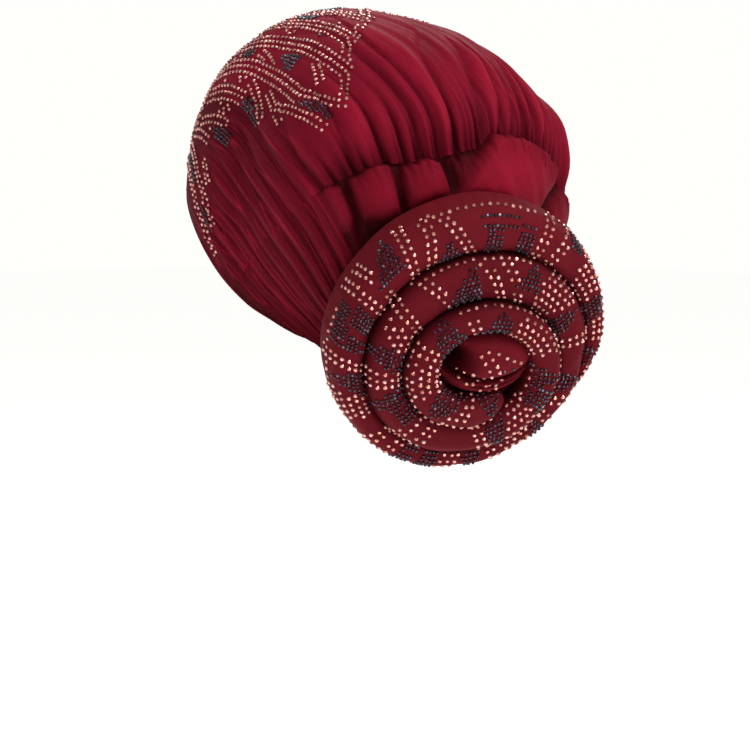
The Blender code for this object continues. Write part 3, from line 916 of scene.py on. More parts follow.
@dataclass(frozen=True)
class CrystalFinish:
    """Foiled glass crystal whose tone changes from stone to stone, with painted shade on its foot
    and girdle from the rim colour.
    """

    name: str
    tones: tuple[tuple[float, tuple[float, float, float]], ...]
    # Colour of the painted shade on each stone's foot and girdle.
    rim: tuple[float, float, float]
    metallic: float
    roughness: float
    coat: float

    def build(self) -> bpy.types.Material:
        """Makes the material, its colour looked up by each stone's own tone and darkened towards
        the rim colour on the foot and girdle as painted shade.
        """
        finish = Finish(self.name)
        tone, facet = finish.attribute("tone"), finish.attribute("facet")
        lit = finish.node("ShaderNodeValToRGB", {"stops": self.tones}, {"Fac": tone})
        colour = finish.mix(facet, (*self.rim, 1.0), lit)
        finish.set(Base_Color=colour, Metallic=self.metallic, Roughness=self.roughness,
                   Specular_IOR_Level=0.6, Coat_Weight=self.coat, Coat_Roughness=0.05)
        finish.material.diffuse_color = (*self.tones[1][1], 1.0)
        return finish.material


# Crystals


class Tone(Enum):
    """Kind of crystal, numbered as its finish is on the piece."""

    ROSE = 0
    MIDNIGHT = 1


class Motif(Enum):
    """Figure that a group of crystals makes, with its kind of crystal."""

    ROWS = ("rows", Tone.ROSE)
    FIELD = ("field", Tone.ROSE)
    BLOCK = ("block", Tone.MIDNIGHT)
    TRIANGLE = ("triangle", Tone.MIDNIGHT)


STUD_SIDES = 8


def stud() -> tuple[Grid, list[list[int]]]:
    """Template of a crystal: an eight-sided foot and girdle, sixteen slopes and a flat table.

    Returns:
        Its points for a radius and a height of 1, ring by ring, and its faces.
    """
    ring = np.arange(STUD_SIDES) * (2 * np.pi / STUD_SIDES)
    between = ring + np.pi / STUD_SIDES
    levels = ((0.96, ring, -0.30), (1.0, ring, 0.22), (0.55, between, 1.0))
    points = np.concatenate([
        np.stack([wide * np.cos(at), wide * np.sin(at), np.full(STUD_SIDES, tall)], axis=-1)
        for wide, at, tall in levels])
    foot = np.arange(STUD_SIDES)
    after = (foot + 1) % STUD_SIDES
    girdle, after_girdle = foot + STUD_SIDES, after + STUD_SIDES
    table, after_table = girdle + STUD_SIDES, after_girdle + STUD_SIDES
    sides = [np.stack(corners, axis=-1).tolist() for corners in (
        (foot, after, after_girdle, girdle), (girdle, after_girdle, table),
        (after_girdle, after_table, table))]
    return points, [foot[::-1].tolist(), table.tolist(), *sides[0], *sides[1], *sides[2]]


@dataclass
class CrystalBed:
    """Crystals laid on a surface of two parameters.

    Pitch, radius and height are those of rose crystals, and midnight ones are smaller and
    closer. step is the small change of each parameter that slopes are measured over.
    """

    surface: Shaper
    step: tuple[float, float]
    pitch: float = 0.0046
    radius: float = 0.00132
    height: float = 0.0010
    midnight_size: float = 0.72
    midnight_count: float = 1.3
    midnight_pitch: float = 0.52
    rose_pitch: float = 0.90
    clearance: float = 1.14
    unevenness: float = 0.00016
    leaning: float = 0.10
    places: list[Grid] = field(default_factory=list)
    tones: list[Grid] = field(default_factory=list)

    def spans(self, place: Grid) -> list[Grid]:
        """Way over the surface between small steps on either side, for each parameter."""
        moves = np.diag(self.step)
        return [self.surface(*(place + move).T) - self.surface(*(place - move).T)
                for move in moves]

    def scale(self, place: Grid) -> Grid:
        """Metres for one unit of each parameter."""
        return np.stack([np.linalg.norm(span, axis=-1) / (2 * step)
                         for span, step in zip(self.spans(place), self.step)], axis=-1)

    def keep(self, place: Grid, tone: Tone) -> None:
        """Adds crystals at the places, in parameters."""
        self.places.append(place)
        self.tones.append(np.full(len(place), tone.value))

    def line(self, start: tuple, end: tuple, rows: int, tone: Tone = Tone.ROSE) -> None:
        """Lays rows of crystals side by side along a straight line in the parameters.

        Args:
            start: First end of the line.
            end: Other end of the line.
            rows: Number of rows.
            tone: Kind of crystal.
        """
        first, way = np.array(start, dtype=float), np.subtract(end, start, dtype=float)
        share = np.linspace(0, 1, 121)[:, None]
        points = self.surface(*(first + way * share).T)
        walked = np.concatenate([[0], np.cumsum(np.linalg.norm(np.diff(points, axis=0), axis=-1))])
        count = max(int(round(walked[-1] / self.pitch)), 1) + 1
        at = np.interp(np.linspace(0, walked[-1], count), walked, share[:, 0])[:, None]
        place = first + way * at
        scale = self.scale(place)
        ahead = way * scale
        ahead = ahead / np.linalg.norm(ahead, axis=-1, keepdims=True)
        aside = np.stack([-ahead[:, 1], ahead[:, 0]], axis=-1) / scale
        for row in range(rows):
            self.keep(place + aside * self.pitch * (row - (rows - 1) / 2), tone)

    def figure(self, motif: Motif, centre: tuple, columns: int, rows: int, slant: float) -> None:
        """Lays a figure of crystals on a small lattice.

        Args:
            motif: Kind of figure.
            centre: Its middle, in parameters.
            columns: Crystals along the first parameter, before midnight ones are added.
            rows: Crystals along the second parameter, likewise.
            slant: Shift of the lattice along the first parameter for each row, in pitches.
        """
        tone, pitch = motif.value[1], self.pitch * self.rose_pitch
        if tone is Tone.MIDNIGHT:
            pitch = self.pitch * self.midnight_pitch
            columns = round(columns * self.midnight_count)
            rows = round(rows * self.midnight_count)
        row, column = np.meshgrid(np.arange(rows), np.arange(columns), indexing="ij")
        x = column - (columns - 1) / 2.0
        y = row - (rows - 1) / 2.0
        if motif is Motif.TRIANGLE:
            kept = np.abs(x) <= (row + 0.5) / rows * columns / 2
        elif motif is Motif.FIELD:
            x = x + 0.5 * (row % 2)
            kept = np.hypot(x / columns, y / rows) < 0.56
        else:
            kept = np.ones_like(x, dtype=bool)
        flat = np.stack([x + slant * y, y], axis=-1)[kept] * pitch
        middle = np.array([centre], dtype=float)
        self.keep(middle + flat / self.scale(middle), tone)

    def sizes(self, tone: Grid) -> Grid:
        """Radius of each crystal."""
        return self.radius * np.where(tone == Tone.MIDNIGHT.value, self.midnight_size, 1.0)

    def thin(self, place: Grid, tone: Grid) -> tuple[Grid, Grid]:
        """Leaves out crystals that lie too near one laid before them.

        Args:
            place: Places of all crystals, in parameters.
            tone: Kind of each.

        Returns:
            Places and kinds that stay.
        """
        points, radius = self.surface(*place.T), self.sizes(tone)
        square = (points**2).sum(axis=-1)
        away = square[:, None] + square[None] - 2 * points @ points.T
        needed = self.clearance * (radius[:, None] + radius[None])
        close = np.tril(away < needed**2, -1)
        kept = np.ones(len(points), dtype=bool)
        for index in np.flatnonzero(close.any(axis=1)):
            kept[index] = not (close[index] & kept).any()
        return place[kept], tone[kept]

    def mesh(self, name: str, seed: int) -> bpy.types.Mesh:
        """Joins all crystals into one mesh of small faceted studs.

        The template is turned to the surface's normal at each place by whole arrays.

        Args:
            name: Name of the mesh.
            seed: Seed for the small unevenness of hand setting.

        Returns:
            The mesh.
        """
        place, tone = self.thin(np.concatenate(self.places), np.concatenate(self.tones))
        chance = np.random.default_rng(seed)
        count = len(place)
        place = place + chance.normal(0, self.unevenness, (count, 2)) / self.scale(place)
        middle = self.surface(*place.T)
        spans = self.spans(place)
        out = np.cross(*spans)
        out /= np.linalg.norm(out, axis=-1, keepdims=True)
        out = out + chance.normal(0, self.leaning, (count, 3))
        out /= np.linalg.norm(out, axis=-1, keepdims=True)
        first = spans[0] - (spans[0] * out).sum(-1, keepdims=True) * out
        first /= np.linalg.norm(first, axis=-1, keepdims=True)
        second = np.cross(out, first)
        turn = chance.uniform(0, 2 * np.pi / STUD_SIDES, count)[:, None]
        first, second = (np.cos(turn) * first + np.sin(turn) * second,
                         np.cos(turn) * second - np.sin(turn) * first)
        template, faces = stud()
        size = (self.sizes(tone) * chance.uniform(0.93, 1.05, count))[:, None, None]
        points = (middle[:, None]
                  + size * template[None, :, :1] * first[:, None]
                  + size * template[None, :, 1:2] * second[:, None]
                  + self.height * template[None, :, 2:] * out[:, None])
        corners, each = np.concatenate(faces), len(template)
        loops = (corners[None] + each * np.arange(count)[:, None]).ravel()
        totals = np.tile([len(face) for face in faces], count)
        mesh = bpy.data.meshes.new(name)
        mesh.vertices.add(count * each)
        mesh.loops.add(len(loops))
        mesh.polygons.add(len(totals))
        mesh.vertices.foreach_set("co", points.ravel().astype(np.float32))
        mesh.loops.foreach_set("vertex_index", loops.astype(np.int32))
        mesh.polygons.foreach_set("loop_start", (np.cumsum(totals) - totals).astype(np.int32))
        mesh.polygons.foreach_set("material_index", np.repeat(tone, len(faces)).astype(np.int32))
        mesh.update(calc_edges=True)
        mesh.shade_flat()
        add_value(mesh, "tone", np.repeat(chance.uniform(0, 1, count), each))
        # Share of painted shade on each stone: foot and girdle dark towards the rim colour, table
        # in the stone's tone.
        add_value(mesh, "facet", np.tile(np.repeat([0.0, 0.15, 1.0], STUD_SIDES), count))
        return mesh


# Sub-assemblies


@dataclass
class Crown:
    """Crown of the cap: its cloth and the panel of crystals over the brow and top."""

    form: ClothForm
    satin: bpy.types.Material
    crystals: tuple[bpy.types.Material, bpy.types.Material]
    columns: int = 561
    rows: int = 86
    thickness: float = 0.0018
    # Rows of crystals. Columns: across and along at one end, at the other, rows
    lines: tuple[tuple[float, ...], ...] = (
        (0.45, -0.55, 0.46, 0.06, 3), (0.345, -0.50, 0.35, 0.10, 3),
        (0.23, -0.46, 0.27, 0.00, 3), (0.12, -0.46, 0.14, -0.07, 3),
        (0.55, -0.52, 0.55, -0.24, 3), (0.645, -0.52, 0.63, -0.26, 2),
        (0.40, -0.30, 0.46, -0.08, 2), (0.50, -0.24, 0.56, -0.04, 2),
        (0.29, 0.02, 0.42, 0.19, 2), (0.20, -0.03, 0.30, 0.04, 2),
        (0.47, -0.02, 0.42, 0.19, 2), (0.51, 0.00, 0.47, 0.20, 2),
        (0.36, -0.03, 0.41, 0.08, 2), (0.50, -0.10, 0.53, 0.06, 2),
        (0.02, -0.20, 0.16, -0.06, 2), (0.30, -0.28, 0.23, -0.10, 2),
        (0.40, -0.46, 0.50, -0.30, 2), (0.50, -0.46, 0.58, -0.36, 2),
        (0.59, -0.30, 0.66, -0.40, 2), (0.28, -0.46, 0.38, -0.34, 2),
        (0.00, -0.95, 0.70, -0.95, 2), (0.72, -0.92, 0.90, -0.40, 2),
        (0.90, -0.40, 0.955, -0.05, 2), (0.72, -0.66, 0.80, -0.44, 2),
        (0.81, -0.42, 0.885, -0.12, 2), (0.76, -0.36, 0.80, -0.26, 2),
        (0.00, -0.56, 0.64, -0.60, 2), (0.68, -0.60, 0.70, -0.38, 2),
        (0.06, -0.90, 0.14, -0.62, 2), (0.22, -0.90, 0.14, -0.62, 2),
        (0.22, -0.90, 0.30, -0.62, 2), (0.38, -0.90, 0.30, -0.62, 2),
        (0.38, -0.90, 0.46, -0.62, 2), (0.54, -0.90, 0.46, -0.62, 2),
        (0.54, -0.90, 0.60, -0.64, 2), (0.66, -0.86, 0.62, -0.66, 2),
    )
    # Figures. Columns: kind, across, along, columns, rows, slant
    figures: tuple[tuple[Motif, float, float, int, int, float], ...] = (
        (Motif.BLOCK, 0.46, 0.135, 4, 10, 0.1), (Motif.BLOCK, 0.555, -0.135, 4, 9, 0.1),
        (Motif.BLOCK, 0.665, -0.27, 3, 8, 0.0), (Motif.TRIANGLE, 0.40, -0.12, 6, 8, 0.0),
        (Motif.TRIANGLE, 0.27, -0.13, 5, 7, 0.0), (Motif.TRIANGLE, 0.40, -0.40, 5, 7, 0.0),
        (Motif.TRIANGLE, 0.18, -0.30, 6, 8, 0.0), (Motif.TRIANGLE, 0.06, -0.34, 6, 7, 0.0),
        (Motif.TRIANGLE, 0.14, -0.82, 6, 7, 0.0), (Motif.TRIANGLE, 0.30, -0.82, 6, 7, 0.0),
        (Motif.TRIANGLE, 0.46, -0.82, 6, 7, 0.0), (Motif.BLOCK, 0.78, -0.62, 3, 6, 0.0),
        (Motif.TRIANGLE, 0.60, -0.84, 4, 6, 0.0), (Motif.BLOCK, 0.895, -0.22, 2, 7, 0.0),
        (Motif.BLOCK, 0.835, -0.52, 3, 5, 0.0),
    )

    def build(self) -> bpy.types.Object:
        """Makes the crown's cloth.

        Returns:
            The piece, standing for the CAD crown.
        """
        across = np.linspace(-1, 1, self.columns)
        share = np.linspace(0, 1, self.rows) ** 0.92
        grid_share, grid_across = np.meshgrid(share, across, indexing="ij")
        points = self.form.crown(grid_across, grid_share)
        mesh = grid_mesh("crown_cloth", points)
        add_uv(mesh, grid_across * 0.2, grid_share * 0.22)
        folds = self.form.crown_relief(grid_across, grid_share)
        back = self.form.gathered(grid_across)
        # Painted light and shade for the fold attribute: the puffed back lit and darker towards the
        # gather line, the pleated sides in painted shade, and both lighter on fold crests and
        # darker in valleys.
        puff_painted_light = 0.90 - 0.64 * smooth((grid_share - 0.42) / 0.58)
        puff_painted_light = puff_painted_light + folds / self.form.puff_height * 0.62
        side_painted_light = 0.24 - 0.10 * smooth((grid_share - 0.4) / 0.6)
        side_painted_light = side_painted_light + folds / self.form.pleat_height * 0.38
        add_value(mesh, "fold", np.clip(side_painted_light + (puff_painted_light - side_painted_light) * back, 0, 1))
        # Mask of the pleat lines: raised ridges with painted highlights.
        add_value(mesh, "pleat", (1 - 0.75 * back) * smooth((grid_share - 0.35) / 0.3))
        piece = add_piece(mesh, self.satin)
        make_solid(piece, self.thickness)
        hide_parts("crown")
        return piece

    def dress(self) -> bpy.types.Object:
        """Lays the panel of crystals on both sides of the crown.

        Returns:
            The crystals, as one piece.
        """
        bed = CrystalBed(self.form.crown_at, (0.002, 0.002), pitch=0.0041, radius=0.00118)
        for side in (1, -1):
            for left, front, far, back, rows in self.lines:
                bed.line((side * left, front), (side * far, back), int(rows))
            for motif, place, along, columns, rows, slant in self.figures:
                bed.figure(motif, (side * place, along), columns, rows, slant)
        return add_piece(bed.mesh("crown_crystals", 11), *self.crystals)


@dataclass
class Flounce:
    """Loose cloth from the gather line to the nape."""

    form: ClothForm
    satin: bpy.types.Material
    columns: int = 561
    rows: int = 66
    thickness: float = 0.0018

    def build(self) -> bpy.types.Object:
        """Makes the flounce's cloth.

        Returns:
            The piece, standing for the CAD flounce.
        """
        across = np.linspace(-1, 1, self.columns)
        share = np.linspace(0, 1, self.rows) ** 1.4
        grid_share, grid_across = np.meshgrid(share, across, indexing="ij")
        mesh = grid_mesh("flounce_cloth", self.form.flounce(grid_across, grid_share))
        add_uv(mesh, grid_across * 0.2, grid_share * 0.1)
        below = self.form.below_seam(grid_share)
        folds = self.form.flounce_relief(grid_across, below)
        back = self.form.gathered(grid_across)
        # Painted light and shade for the fold attribute: the tents (loose) lit by their height and
        # dark in the gaps, a painted shadow in the pocket just above the roll, and the pleated
        # sides in painted shade, darker downwards.
        painted_pocket_shadow = 0.8 * bell((below - 0.235) / 0.065) * smooth((grid_across - 0.24) / 0.06)
        loose = 0.02 + folds / self.form.tent_height * 1.25 - painted_pocket_shadow
        side_painted_light = 0.14 - 0.08 * smooth(below) + folds / self.form.pleat_height * 0.38
        add_value(mesh, "fold", np.clip(side_painted_light + (loose - side_painted_light) * back, 0, 1))
        # Mask of the pleat lines: raised ridges with painted highlights.
        add_value(mesh, "pleat", (1 - back) * (1 - smooth((below - 0.8) / 0.2)))
        piece = add_piece(mesh, self.satin)
        make_solid(piece, self.thickness)
        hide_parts("back_flounce")
        return piece


@dataclass
class Rosette:
    """Wound roll with its crystals, and the knotted end at its middle."""

    form: RosetteForm
    satin: bpy.types.Material
    knot_satin: bpy.types.Material
    crystals: tuple[bpy.types.Material, bpy.types.Material]
    stations: int = 1120
    sides: int = 64
    knot_rows: int = 73
    knot_sides: int = 112
    knot_hollow: float = 1.70
    knot_fold: float = 0.55
    knot_tuck: float = 0.20
    knot_lobe: float = 0.10
    knot_height: float = 0.85
    knot_rim: float = 0.0016
    knot_skirt: float = 0.0095
    # Single rows along the roll. Columns: winding angle at both ends, place round the section
    rows_along: tuple[tuple[float, float, float], ...] = (
        (119, 70, -0.33), (487, 458, -0.29), (456, 428, -0.27), (830, 765, -0.29),
        (215, 165, -0.40), (62, 30, -0.44), (560, 500, 0.30), (350, 300, 0.26),
        (640, 575, 0.28), (745, 690, -0.30), (960, 900, -0.26), (1010, 965, -0.20),
        (300, 240, -0.30), (30, -5, -0.20), (400, 372, 0.26), (720, 690, 0.24),
    )
    # Columns: kind, winding angle, place, crystals along, crystals across, slant
    figures: tuple[tuple[Motif, float, float, int, int, float], ...] = (
        (Motif.FIELD, -18, -0.10, 5, 6, 0.0), (Motif.TRIANGLE, -4, 0.05, 7, 7, 0.0),
        (Motif.FIELD, 8, -0.12, 4, 8, 0.0), (Motif.TRIANGLE, 20, -0.02, 7, 8, 0.0),
        (Motif.FIELD, 33, -0.16, 5, 8, 0.0), (Motif.TRIANGLE, 33, 0.18, 6, 6, 0.0),
        (Motif.BLOCK, 47, -0.34, 3, 6, 0.0), (Motif.ROWS, 54, -0.10, 2, 9, 0.35),
        (Motif.ROWS, 64, -0.10, 2, 9, 0.15), (Motif.BLOCK, 73, 0.06, 3, 7, 0.0),
        (Motif.BLOCK, 86, -0.18, 8, 1, 0.0), (Motif.BLOCK, 86, -0.08, 7, 1, 0.0),
        (Motif.BLOCK, 88, 0.10, 3, 6, 0.0), (Motif.ROWS, 103, 0.00, 2, 8, -0.55),
        (Motif.TRIANGLE, 109, 0.12, 6, 6, 0.0), (Motif.ROWS, 117, -0.08, 2, 9, 0.1),
        (Motif.ROWS, 127, -0.10, 2, 10, 0.0), (Motif.TRIANGLE, 136, -0.26, 7, 8, 0.2),
        (Motif.ROWS, 145, -0.16, 2, 9, -0.25), (Motif.ROWS, 153, -0.16, 2, 9, -0.2),
        (Motif.BLOCK, 161, 0.00, 4, 5, 0.0), (Motif.BLOCK, 167, -0.25, 6, 4, 0.0),
        (Motif.BLOCK, 173, -0.10, 3, 8, 0.0), (Motif.ROWS, 183, -0.16, 2, 8, 0.0),
        (Motif.TRIANGLE, 192, -0.04, 7, 7, 0.0), (Motif.FIELD, 204, -0.14, 5, 8, 0.0),
        (Motif.ROWS, 226, -0.08, 2, 9, 0.0), (Motif.ROWS, 236, -0.04, 2, 9, 0.3),
        (Motif.BLOCK, 245, 0.04, 3, 8, 0.0), (Motif.BLOCK, 257, 0.06, 3, 8, 0.0),
        (Motif.ROWS, 268, 0.02, 3, 8, 0.3), (Motif.TRIANGLE, 279, 0.00, 7, 7, 0.0),
        (Motif.ROWS, 290, 0.02, 2, 9, -0.3), (Motif.FIELD, 302, 0.04, 5, 7, 0.0),
        (Motif.BLOCK, 314, 0.02, 4, 6, 0.0), (Motif.ROWS, 324, 0.02, 2, 8, 0.3),
        (Motif.ROWS, 335, 0.00, 2, 8, -0.3), (Motif.TRIANGLE, 347, 0.02, 7, 7, 0.0),
        (Motif.ROWS, 374, 0.00, 2, 8, 0.2), (Motif.TRIANGLE, 390, 0.06, 7, 8, 0.0),
        (Motif.FIELD, 405, -0.06, 6, 8, 0.0), (Motif.TRIANGLE, 425, -0.14, 6, 6, 0.0),
        (Motif.ROWS, 433, 0.02, 2, 9, -0.6), (Motif.ROWS, 445, 0.02, 2, 9, -0.6),
        (Motif.TRIANGLE, 463, 0.02, 9, 9, 0.3), (Motif.ROWS, 479, -0.04, 2, 9, -0.5),
        (Motif.ROWS, 502, -0.06, 2, 9, 0.0), (Motif.FIELD, 512, 0.04, 4, 7, 0.0),
        (Motif.TRIANGLE, 529, -0.10, 8, 9, 0.0), (Motif.ROWS, 545, -0.10, 3, 8, 0.0),
        (Motif.TRIANGLE, 562, -0.04, 7, 8, 0.0), (Motif.BLOCK, 573, 0.10, 5, 5, 0.0),
        (Motif.ROWS, 586, -0.04, 2, 9, 0.0), (Motif.ROWS, 600, 0.00, 2, 9, 0.2),
        (Motif.ROWS, 640, 0.02, 2, 8, -0.3), (Motif.BLOCK, 652, 0.02, 4, 8, 0.3),
        (Motif.FIELD, 668, 0.02, 5, 6, 0.0), (Motif.ROWS, 682, 0.00, 2, 7, 0.0),
        (Motif.BLOCK, 695, 0.04, 5, 6, 0.0), (Motif.TRIANGLE, 716, 0.04, 7, 7, 0.0),
        (Motif.FIELD, 760, 0.00, 7, 8, 0.0), (Motif.TRIANGLE, 799, 0.06, 10, 6, 0.0),
        (Motif.ROWS, 822, 0.04, 2, 7, -0.3), (Motif.TRIANGLE, 850, -0.06, 9, 8, 0.3),
        (Motif.ROWS, 872, -0.02, 2, 8, 0.0), (Motif.FIELD, 893, -0.02, 7, 8, 0.0),
        (Motif.TRIANGLE, 945, 0.04, 10, 8, 0.0), (Motif.ROWS, 972, 0.04, 3, 7, 0.2),
        (Motif.TRIANGLE, 1012, 0.06, 7, 6, 0.0),
    )

    def build(self) -> bpy.types.Object:
        """Makes the wound roll as a closed tube.

        Returns:
            The piece, standing for the CAD roll.
        """
        degrees = np.linspace(self.form.start, self.form.end, self.stations)
        place = -1 + 2 * np.arange(self.sides) / self.sides
        grid_degrees, grid_place = np.meshgrid(degrees, place, indexing="ij")
        points = self.form.points(grid_degrees, grid_place)
        caps = [points[end].mean(axis=0) + 0 * points[end] for end in (0, -1)]
        points = np.concatenate([caps[0][None], points, caps[1][None]])
        mesh = grid_mesh("roll_cloth", points, closed=True)
        grid_degrees = np.concatenate([grid_degrees[:1], grid_degrees, grid_degrees[-1:]])
        grid_place = np.concatenate([grid_place[:1], grid_place, grid_place[-1:]])
        add_uv(mesh, grid_degrees * 0.0011, grid_place * 0.045)
        # Painted light and shade in the fold attribute: lit on its face, most at the top, and
        # painted shade between the turns. The first turn's outer side is bare, so it stays lit
        # further round, and so does the back.
        aside = np.abs(grid_place)
        bare = np.where(grid_place < 0, 0.50 * (1 - smooth((grid_degrees - 200) / 150)), 0.0)
        lit = 0.59 + 0.13 * bell((grid_degrees - 95) / 60)
        face = lit * (1 - smooth((aside - 0.18 - bare) / 0.26))
        back = 0.60 * smooth((aside - 0.60) / 0.20)
        add_value(mesh, "fold", np.maximum(face, back))
        merge_poles(mesh)
        piece = add_piece(mesh, self.satin)
        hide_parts("rosette_roll")
        return piece

    def dress(self) -> bpy.types.Object:
        """Lays the crystals on the roll.

        Returns:
            The crystals, as one piece.
        """
        bed = CrystalBed(self.form.points, (0.25, 0.004))
        for start, end, place in self.rows_along:
            bed.line((start, place), (end, place), 1)
        for motif, degrees, place, columns, rows, slant in self.figures:
            bed.figure(motif, (degrees, place), columns, rows, slant)
        return add_piece(bed.mesh("roll_crystals", 23), *self.crystals)

    def knot_valley(self, x: Grid) -> Grid:
        """Height across the knot at which its lobe meets the tucked fold below it."""
        return -0.42 + 0.38 * (x + 0.1) ** 2

    def knot_points(self, turn: Grid, reach: Grid) -> Grid:
        """Surface of the knot: a flat oval dome with a hollow and folds tucked below its lobe.

        Underneath it widens into a skirt below the inner turn, so that no gap shows between.

        Args:
            turn: Angle round the knot, in radians.
            reach: 0 at the top, 1 at the rim, 2 underneath.

        Returns:
            Points in the cap's frame.
        """
        middle = self.form.edge(np.linspace(1080, 1350, 4))
        low, high = middle.min(axis=0), middle.max(axis=0)
        half = (high - low) / 2 - self.form.overlap
        z = np.cos(reach * np.pi / 2)
        upper = z > 0
        wide = np.where(upper, np.sin(reach * np.pi / 2), 1 - np.abs(reach - 1) ** 6)
        x, y = wide * np.cos(turn), wide * np.sin(turn)
        hollow = self.knot_hollow * bell(np.hypot((x + 0.66) / 0.24, (y - 0.10) / 0.42))
        valley = self.knot_valley(x)
        fold = self.knot_fold * bell((y - valley) / 0.085) * smooth((x + 0.75) / 0.4)
        tuck = self.knot_tuck * bell((y - valley + 0.26) / 0.06) * smooth((x + 0.55) / 0.4)
        lobe = self.knot_lobe * bell(np.hypot((x - 0.10) / 0.75, (y - 0.25) / 0.45))
        dome = self.knot_height * np.abs(z) ** 0.75 - hollow - fold - tuck + lobe
        shape = np.where(upper, dome, self.knot_height * z)
        centre, right, up, out = self.form.axes()
        rim = self.knot_rim * smooth((reach - 0.85) / 0.25)
        skirt = rim + self.knot_skirt * smooth((reach - 1.05) / 0.25)
        flat = (high + low) / 2 + np.stack([x, y], axis=-1) * (half + skirt[..., None])
        level = self.form.dome * 0.86 + self.form.half_height * shape
        return centre + flat[..., :1] * right + flat[..., 1:] * up + level[..., None] * out

    def build_knot(self) -> bpy.types.Object:
        """Makes the knotted end of the roll.

        Returns:
            The piece, standing for the CAD knot.
        """
        around = np.arange(self.knot_sides) * 2 * np.pi / self.knot_sides
        reach, turn = np.meshgrid(np.linspace(0, 2, self.knot_rows), around, indexing="ij")
        points = self.knot_points(turn, reach)
        mesh = grid_mesh("knot_cloth", points[:, ::-1], closed=True)
        add_uv(mesh, np.cos(turn[:, ::-1]) * reach * 0.01, np.sin(turn[:, ::-1]) * reach * 0.01)
        # Painted light and shade for the fold attribute: painted shade in the hollow and along the
        # crease under the lobe, and darker towards the rim and underside; tone here is this painted
        # light, not a colour of the cloth.
        x = np.sin(reach * np.pi / 2) * np.cos(turn)
        y = np.sin(reach * np.pi / 2) * np.sin(turn)
        shade = 0.9 * bell(np.hypot((x + 0.66) / 0.30, (y - 0.10) / 0.48))
        crease = 0.4 * bell((y - self.knot_valley(x)) / 0.10)
        tone = 0.70 - 0.5 * smooth((reach - 0.8) / 0.3) - shade - crease
        add_value(mesh, "fold", np.clip(tone, 0, 1)[:, ::-1])
        merge_poles(mesh)
        piece = add_piece(mesh, self.knot_satin)
        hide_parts("rosette_knot")
        return piece

    def dress_knot(self) -> bpy.types.Object:
        """Lays rows of crystals on the knot's lobe and fold.

        Returns:
            The crystals, as one piece.
        """

        def surface(x: Grid, y: Grid) -> Grid:
            """Upper face of the knot by its shares to the right and up."""
            far = np.minimum(np.hypot(x, y), 0.985)
            return self.knot_points(np.arctan2(y, x), np.arcsin(far) * 2 / np.pi)

        bed = CrystalBed(surface, (0.02, 0.02))
        bed.line((-0.18, 0.50), (0.12, -0.12), 2)
        bed.line((0.12, 0.52), (0.66, 0.16), 1)
        bed.line((0.30, -0.05), (0.52, 0.00), 1, Tone.MIDNIGHT)
        bed.line((-0.52, -0.30), (0.25, -0.72), 3)
        bed.line((0.35, -0.45), (0.70, -0.15), 1)
        return add_piece(bed.mesh("knot_crystals", 37), *self.crystals)


def merge_poles(mesh: bpy.types.Mesh) -> None:
    """Merges the points that coincide where a tube or dome closes."""
    cage = bmesh.new()
    cage.from_mesh(mesh)
    bmesh.ops.remove_doubles(cage, verts=cage.verts, dist=1e-7)
    cage.to_mesh(mesh)
    cage.free()
    mesh.shade_smooth()


# Studio


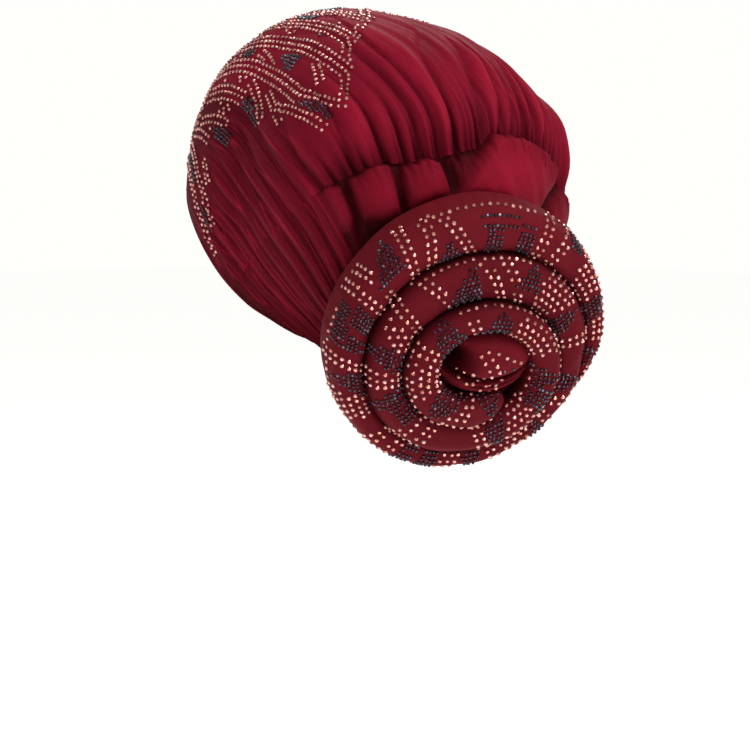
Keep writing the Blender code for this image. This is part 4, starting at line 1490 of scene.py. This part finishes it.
@dataclass(frozen=True)
class Studio:
    """Pale floor, soft lights and the camera."""

    azimuth: float = math.radians(135)
    elevation: float = math.radians(5)
    distance: float = 1.35
    aim_right: float = 0.022
    aim_height: float = -0.114
    lens: float = 110.16
    floor_height: float = -0.36
    floor_half: float = 6.0
    # Columns: name, place to the camera's right, up and back from the cap, size, watts, colour
    lights: tuple[tuple, ...] = (
        ("key", (0.85, 1.05, 0.75), 0.75, 17.0, (1.0, 0.985, 0.96)),
        ("fill", (-0.9, 0.15, 1.3), 0.9, 2.5, (1.0, 1.0, 1.0)),
        ("rim", (0.2, 0.9, -1.1), 0.8, 7.0, (1.0, 1.0, 1.0)),
    )

    def axes(self) -> tuple[Grid, Grid, Grid]:
        """Camera's directions back, right and up."""
        back = np.array([math.sin(self.azimuth) * math.cos(self.elevation),
                         -math.cos(self.azimuth) * math.cos(self.elevation),
                         math.sin(self.elevation)])
        right = np.cross(-back, [0.0, 0.0, 1.0])
        right /= np.linalg.norm(right)
        return back, right, np.cross(right, -back)

    def stand(self, data: bpy.types.ID, place: Grid, towards: Grid) -> bpy.types.Object:
        """Puts a camera or a light in the scene.

        Args:
            data: Its data, whose name it takes.
            place: Where it stands.
            towards: Direction that it faces.

        Returns:
            The object.
        """
        made = bpy.data.objects.new(data.name, data)
        made.location = Vector(place)
        made.rotation_mode = "QUATERNION"
        made.rotation_quaternion = Vector(towards).to_track_quat("-Z", "Y")
        bpy.context.scene.collection.objects.link(made)
        return made

    def place_camera(self) -> None:
        """Stands the camera where the photograph was taken from."""
        back, right, _ = self.axes()
        aim = right * self.aim_right + np.array([0.0, 0.0, self.aim_height])
        data = bpy.data.cameras.new("camera")
        data.lens = self.lens
        bpy.context.scene.camera = self.stand(data, aim + back * self.distance, -back)

    def add_lights(self) -> None:
        """Hangs the square soft lights."""
        back, right, up = self.axes()
        for name, offset, size, power, colour in self.lights:
            place = right * offset[0] + up * offset[1] + back * offset[2]
            data = bpy.data.lights.new(name, "AREA")
            data.size = size
            data.energy = power
            data.color = colour
            self.stand(data, place, -place)

    def build(self) -> None:
        """Lays the floor, hangs the lights and sets the pale surroundings."""
        half = self.floor_half
        floor = grid_mesh("floor", np.array([
            [(x, y, self.floor_height) for x in (-half, half)] for y in (-half, half)]))
        finish = Finish("pale_floor")
        finish.set(Base_Color=(0.90, 0.90, 0.885, 1.0), Roughness=0.9, Specular_IOR_Level=0.1,
                   Emission_Color=(1.0, 1.0, 0.98, 1.0), Emission_Strength=0.60)
        floor.materials.append(finish.material)
        stage = bpy.data.objects.new("floor", floor)
        bpy.context.scene.collection.objects.link(stage)
        self.add_lights()
        world = bpy.data.worlds.new("surroundings")
        world.use_nodes = True
        bpy.context.scene.world = world
        nodes, links = world.node_tree.nodes, world.node_tree.links
        soft = nodes["Background"]
        soft.inputs["Color"].default_value = (1.0, 0.995, 0.985, 1.0)
        soft.inputs["Strength"].default_value = 0.42
        pale = nodes.new("ShaderNodeBackground")
        pale.inputs["Color"].default_value = (1.0, 1.0, 0.97, 1.0)
        seen = nodes.new("ShaderNodeLightPath")
        mixed = nodes.new("ShaderNodeMixShader")
        links.new(seen.outputs["Is Camera Ray"], mixed.inputs[0])
        links.new(soft.outputs[0], mixed.inputs[1])
        links.new(pale.outputs[0], mixed.inputs[2])
        links.new(mixed.outputs[0], nodes["World Output"].inputs["Surface"])
        bpy.context.scene.view_settings.view_transform = "Standard"
        self.place_camera()


def main() -> None:
    """Loads the frame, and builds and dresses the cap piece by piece."""
    logging.basicConfig(level=logging.INFO, format="%(name)s: %(message)s")
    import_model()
    crystals = (
        CrystalFinish("rose_crystal", (
            (0.0, (0.50, 0.15, 0.12)), (0.35, (0.76, 0.30, 0.25)),
            (0.75, (0.95, 0.48, 0.46)), (1.0, (0.85, 0.38, 0.24)),
        ), rim=(0.10, 0.014, 0.011), metallic=0.88, roughness=0.20, coat=0.40).build(),
        CrystalFinish("midnight_crystal", (
            (0.0, (0.003, 0.003, 0.008)), (0.70, (0.010, 0.010, 0.022)),
            (0.90, (0.050, 0.030, 0.085)), (1.0, (0.14, 0.17, 0.21)),
        ), rim=(0.002, 0.001, 0.004), metallic=0.30, roughness=0.18, coat=0.20).build(),
    )
    cloth = ClothForm()
    crown = Crown(cloth, SatinFinish("crown_satin_cloth", (0.040, 0.0004, 0.0030),
                                     (0.300, 0.0080, 0.0290), crease=1.1).build(), crystals)
    flounce = Flounce(cloth, SatinFinish("flounce_satin_cloth", (0.024, 0.0003, 0.0016),
                                         (0.290, 0.0075, 0.0260), crease=0.5).build())
    rosette = Rosette(cloth.rosette,
                      SatinFinish("roll_satin_cloth", (0.018, 0.0008, 0.0018),
                                  (0.205, 0.0105, 0.0200)).build(),
                      SatinFinish("knot_satin_cloth", (0.018, 0.0008, 0.0018),
                                  (0.205, 0.0095, 0.0200)).build(), crystals)
    shell = crown.build()
    skirt = flounce.build()
    pieces = [shell, crown.dress(), skirt, rosette.build(), rosette.dress(),
              rosette.build_knot(), rosette.dress_knot()]
    for piece in pieces:
        LOG.info("%s: %d faces", piece.name, len(piece.data.polygons))
    Studio().build()


if __name__ == "__main__":
    main()
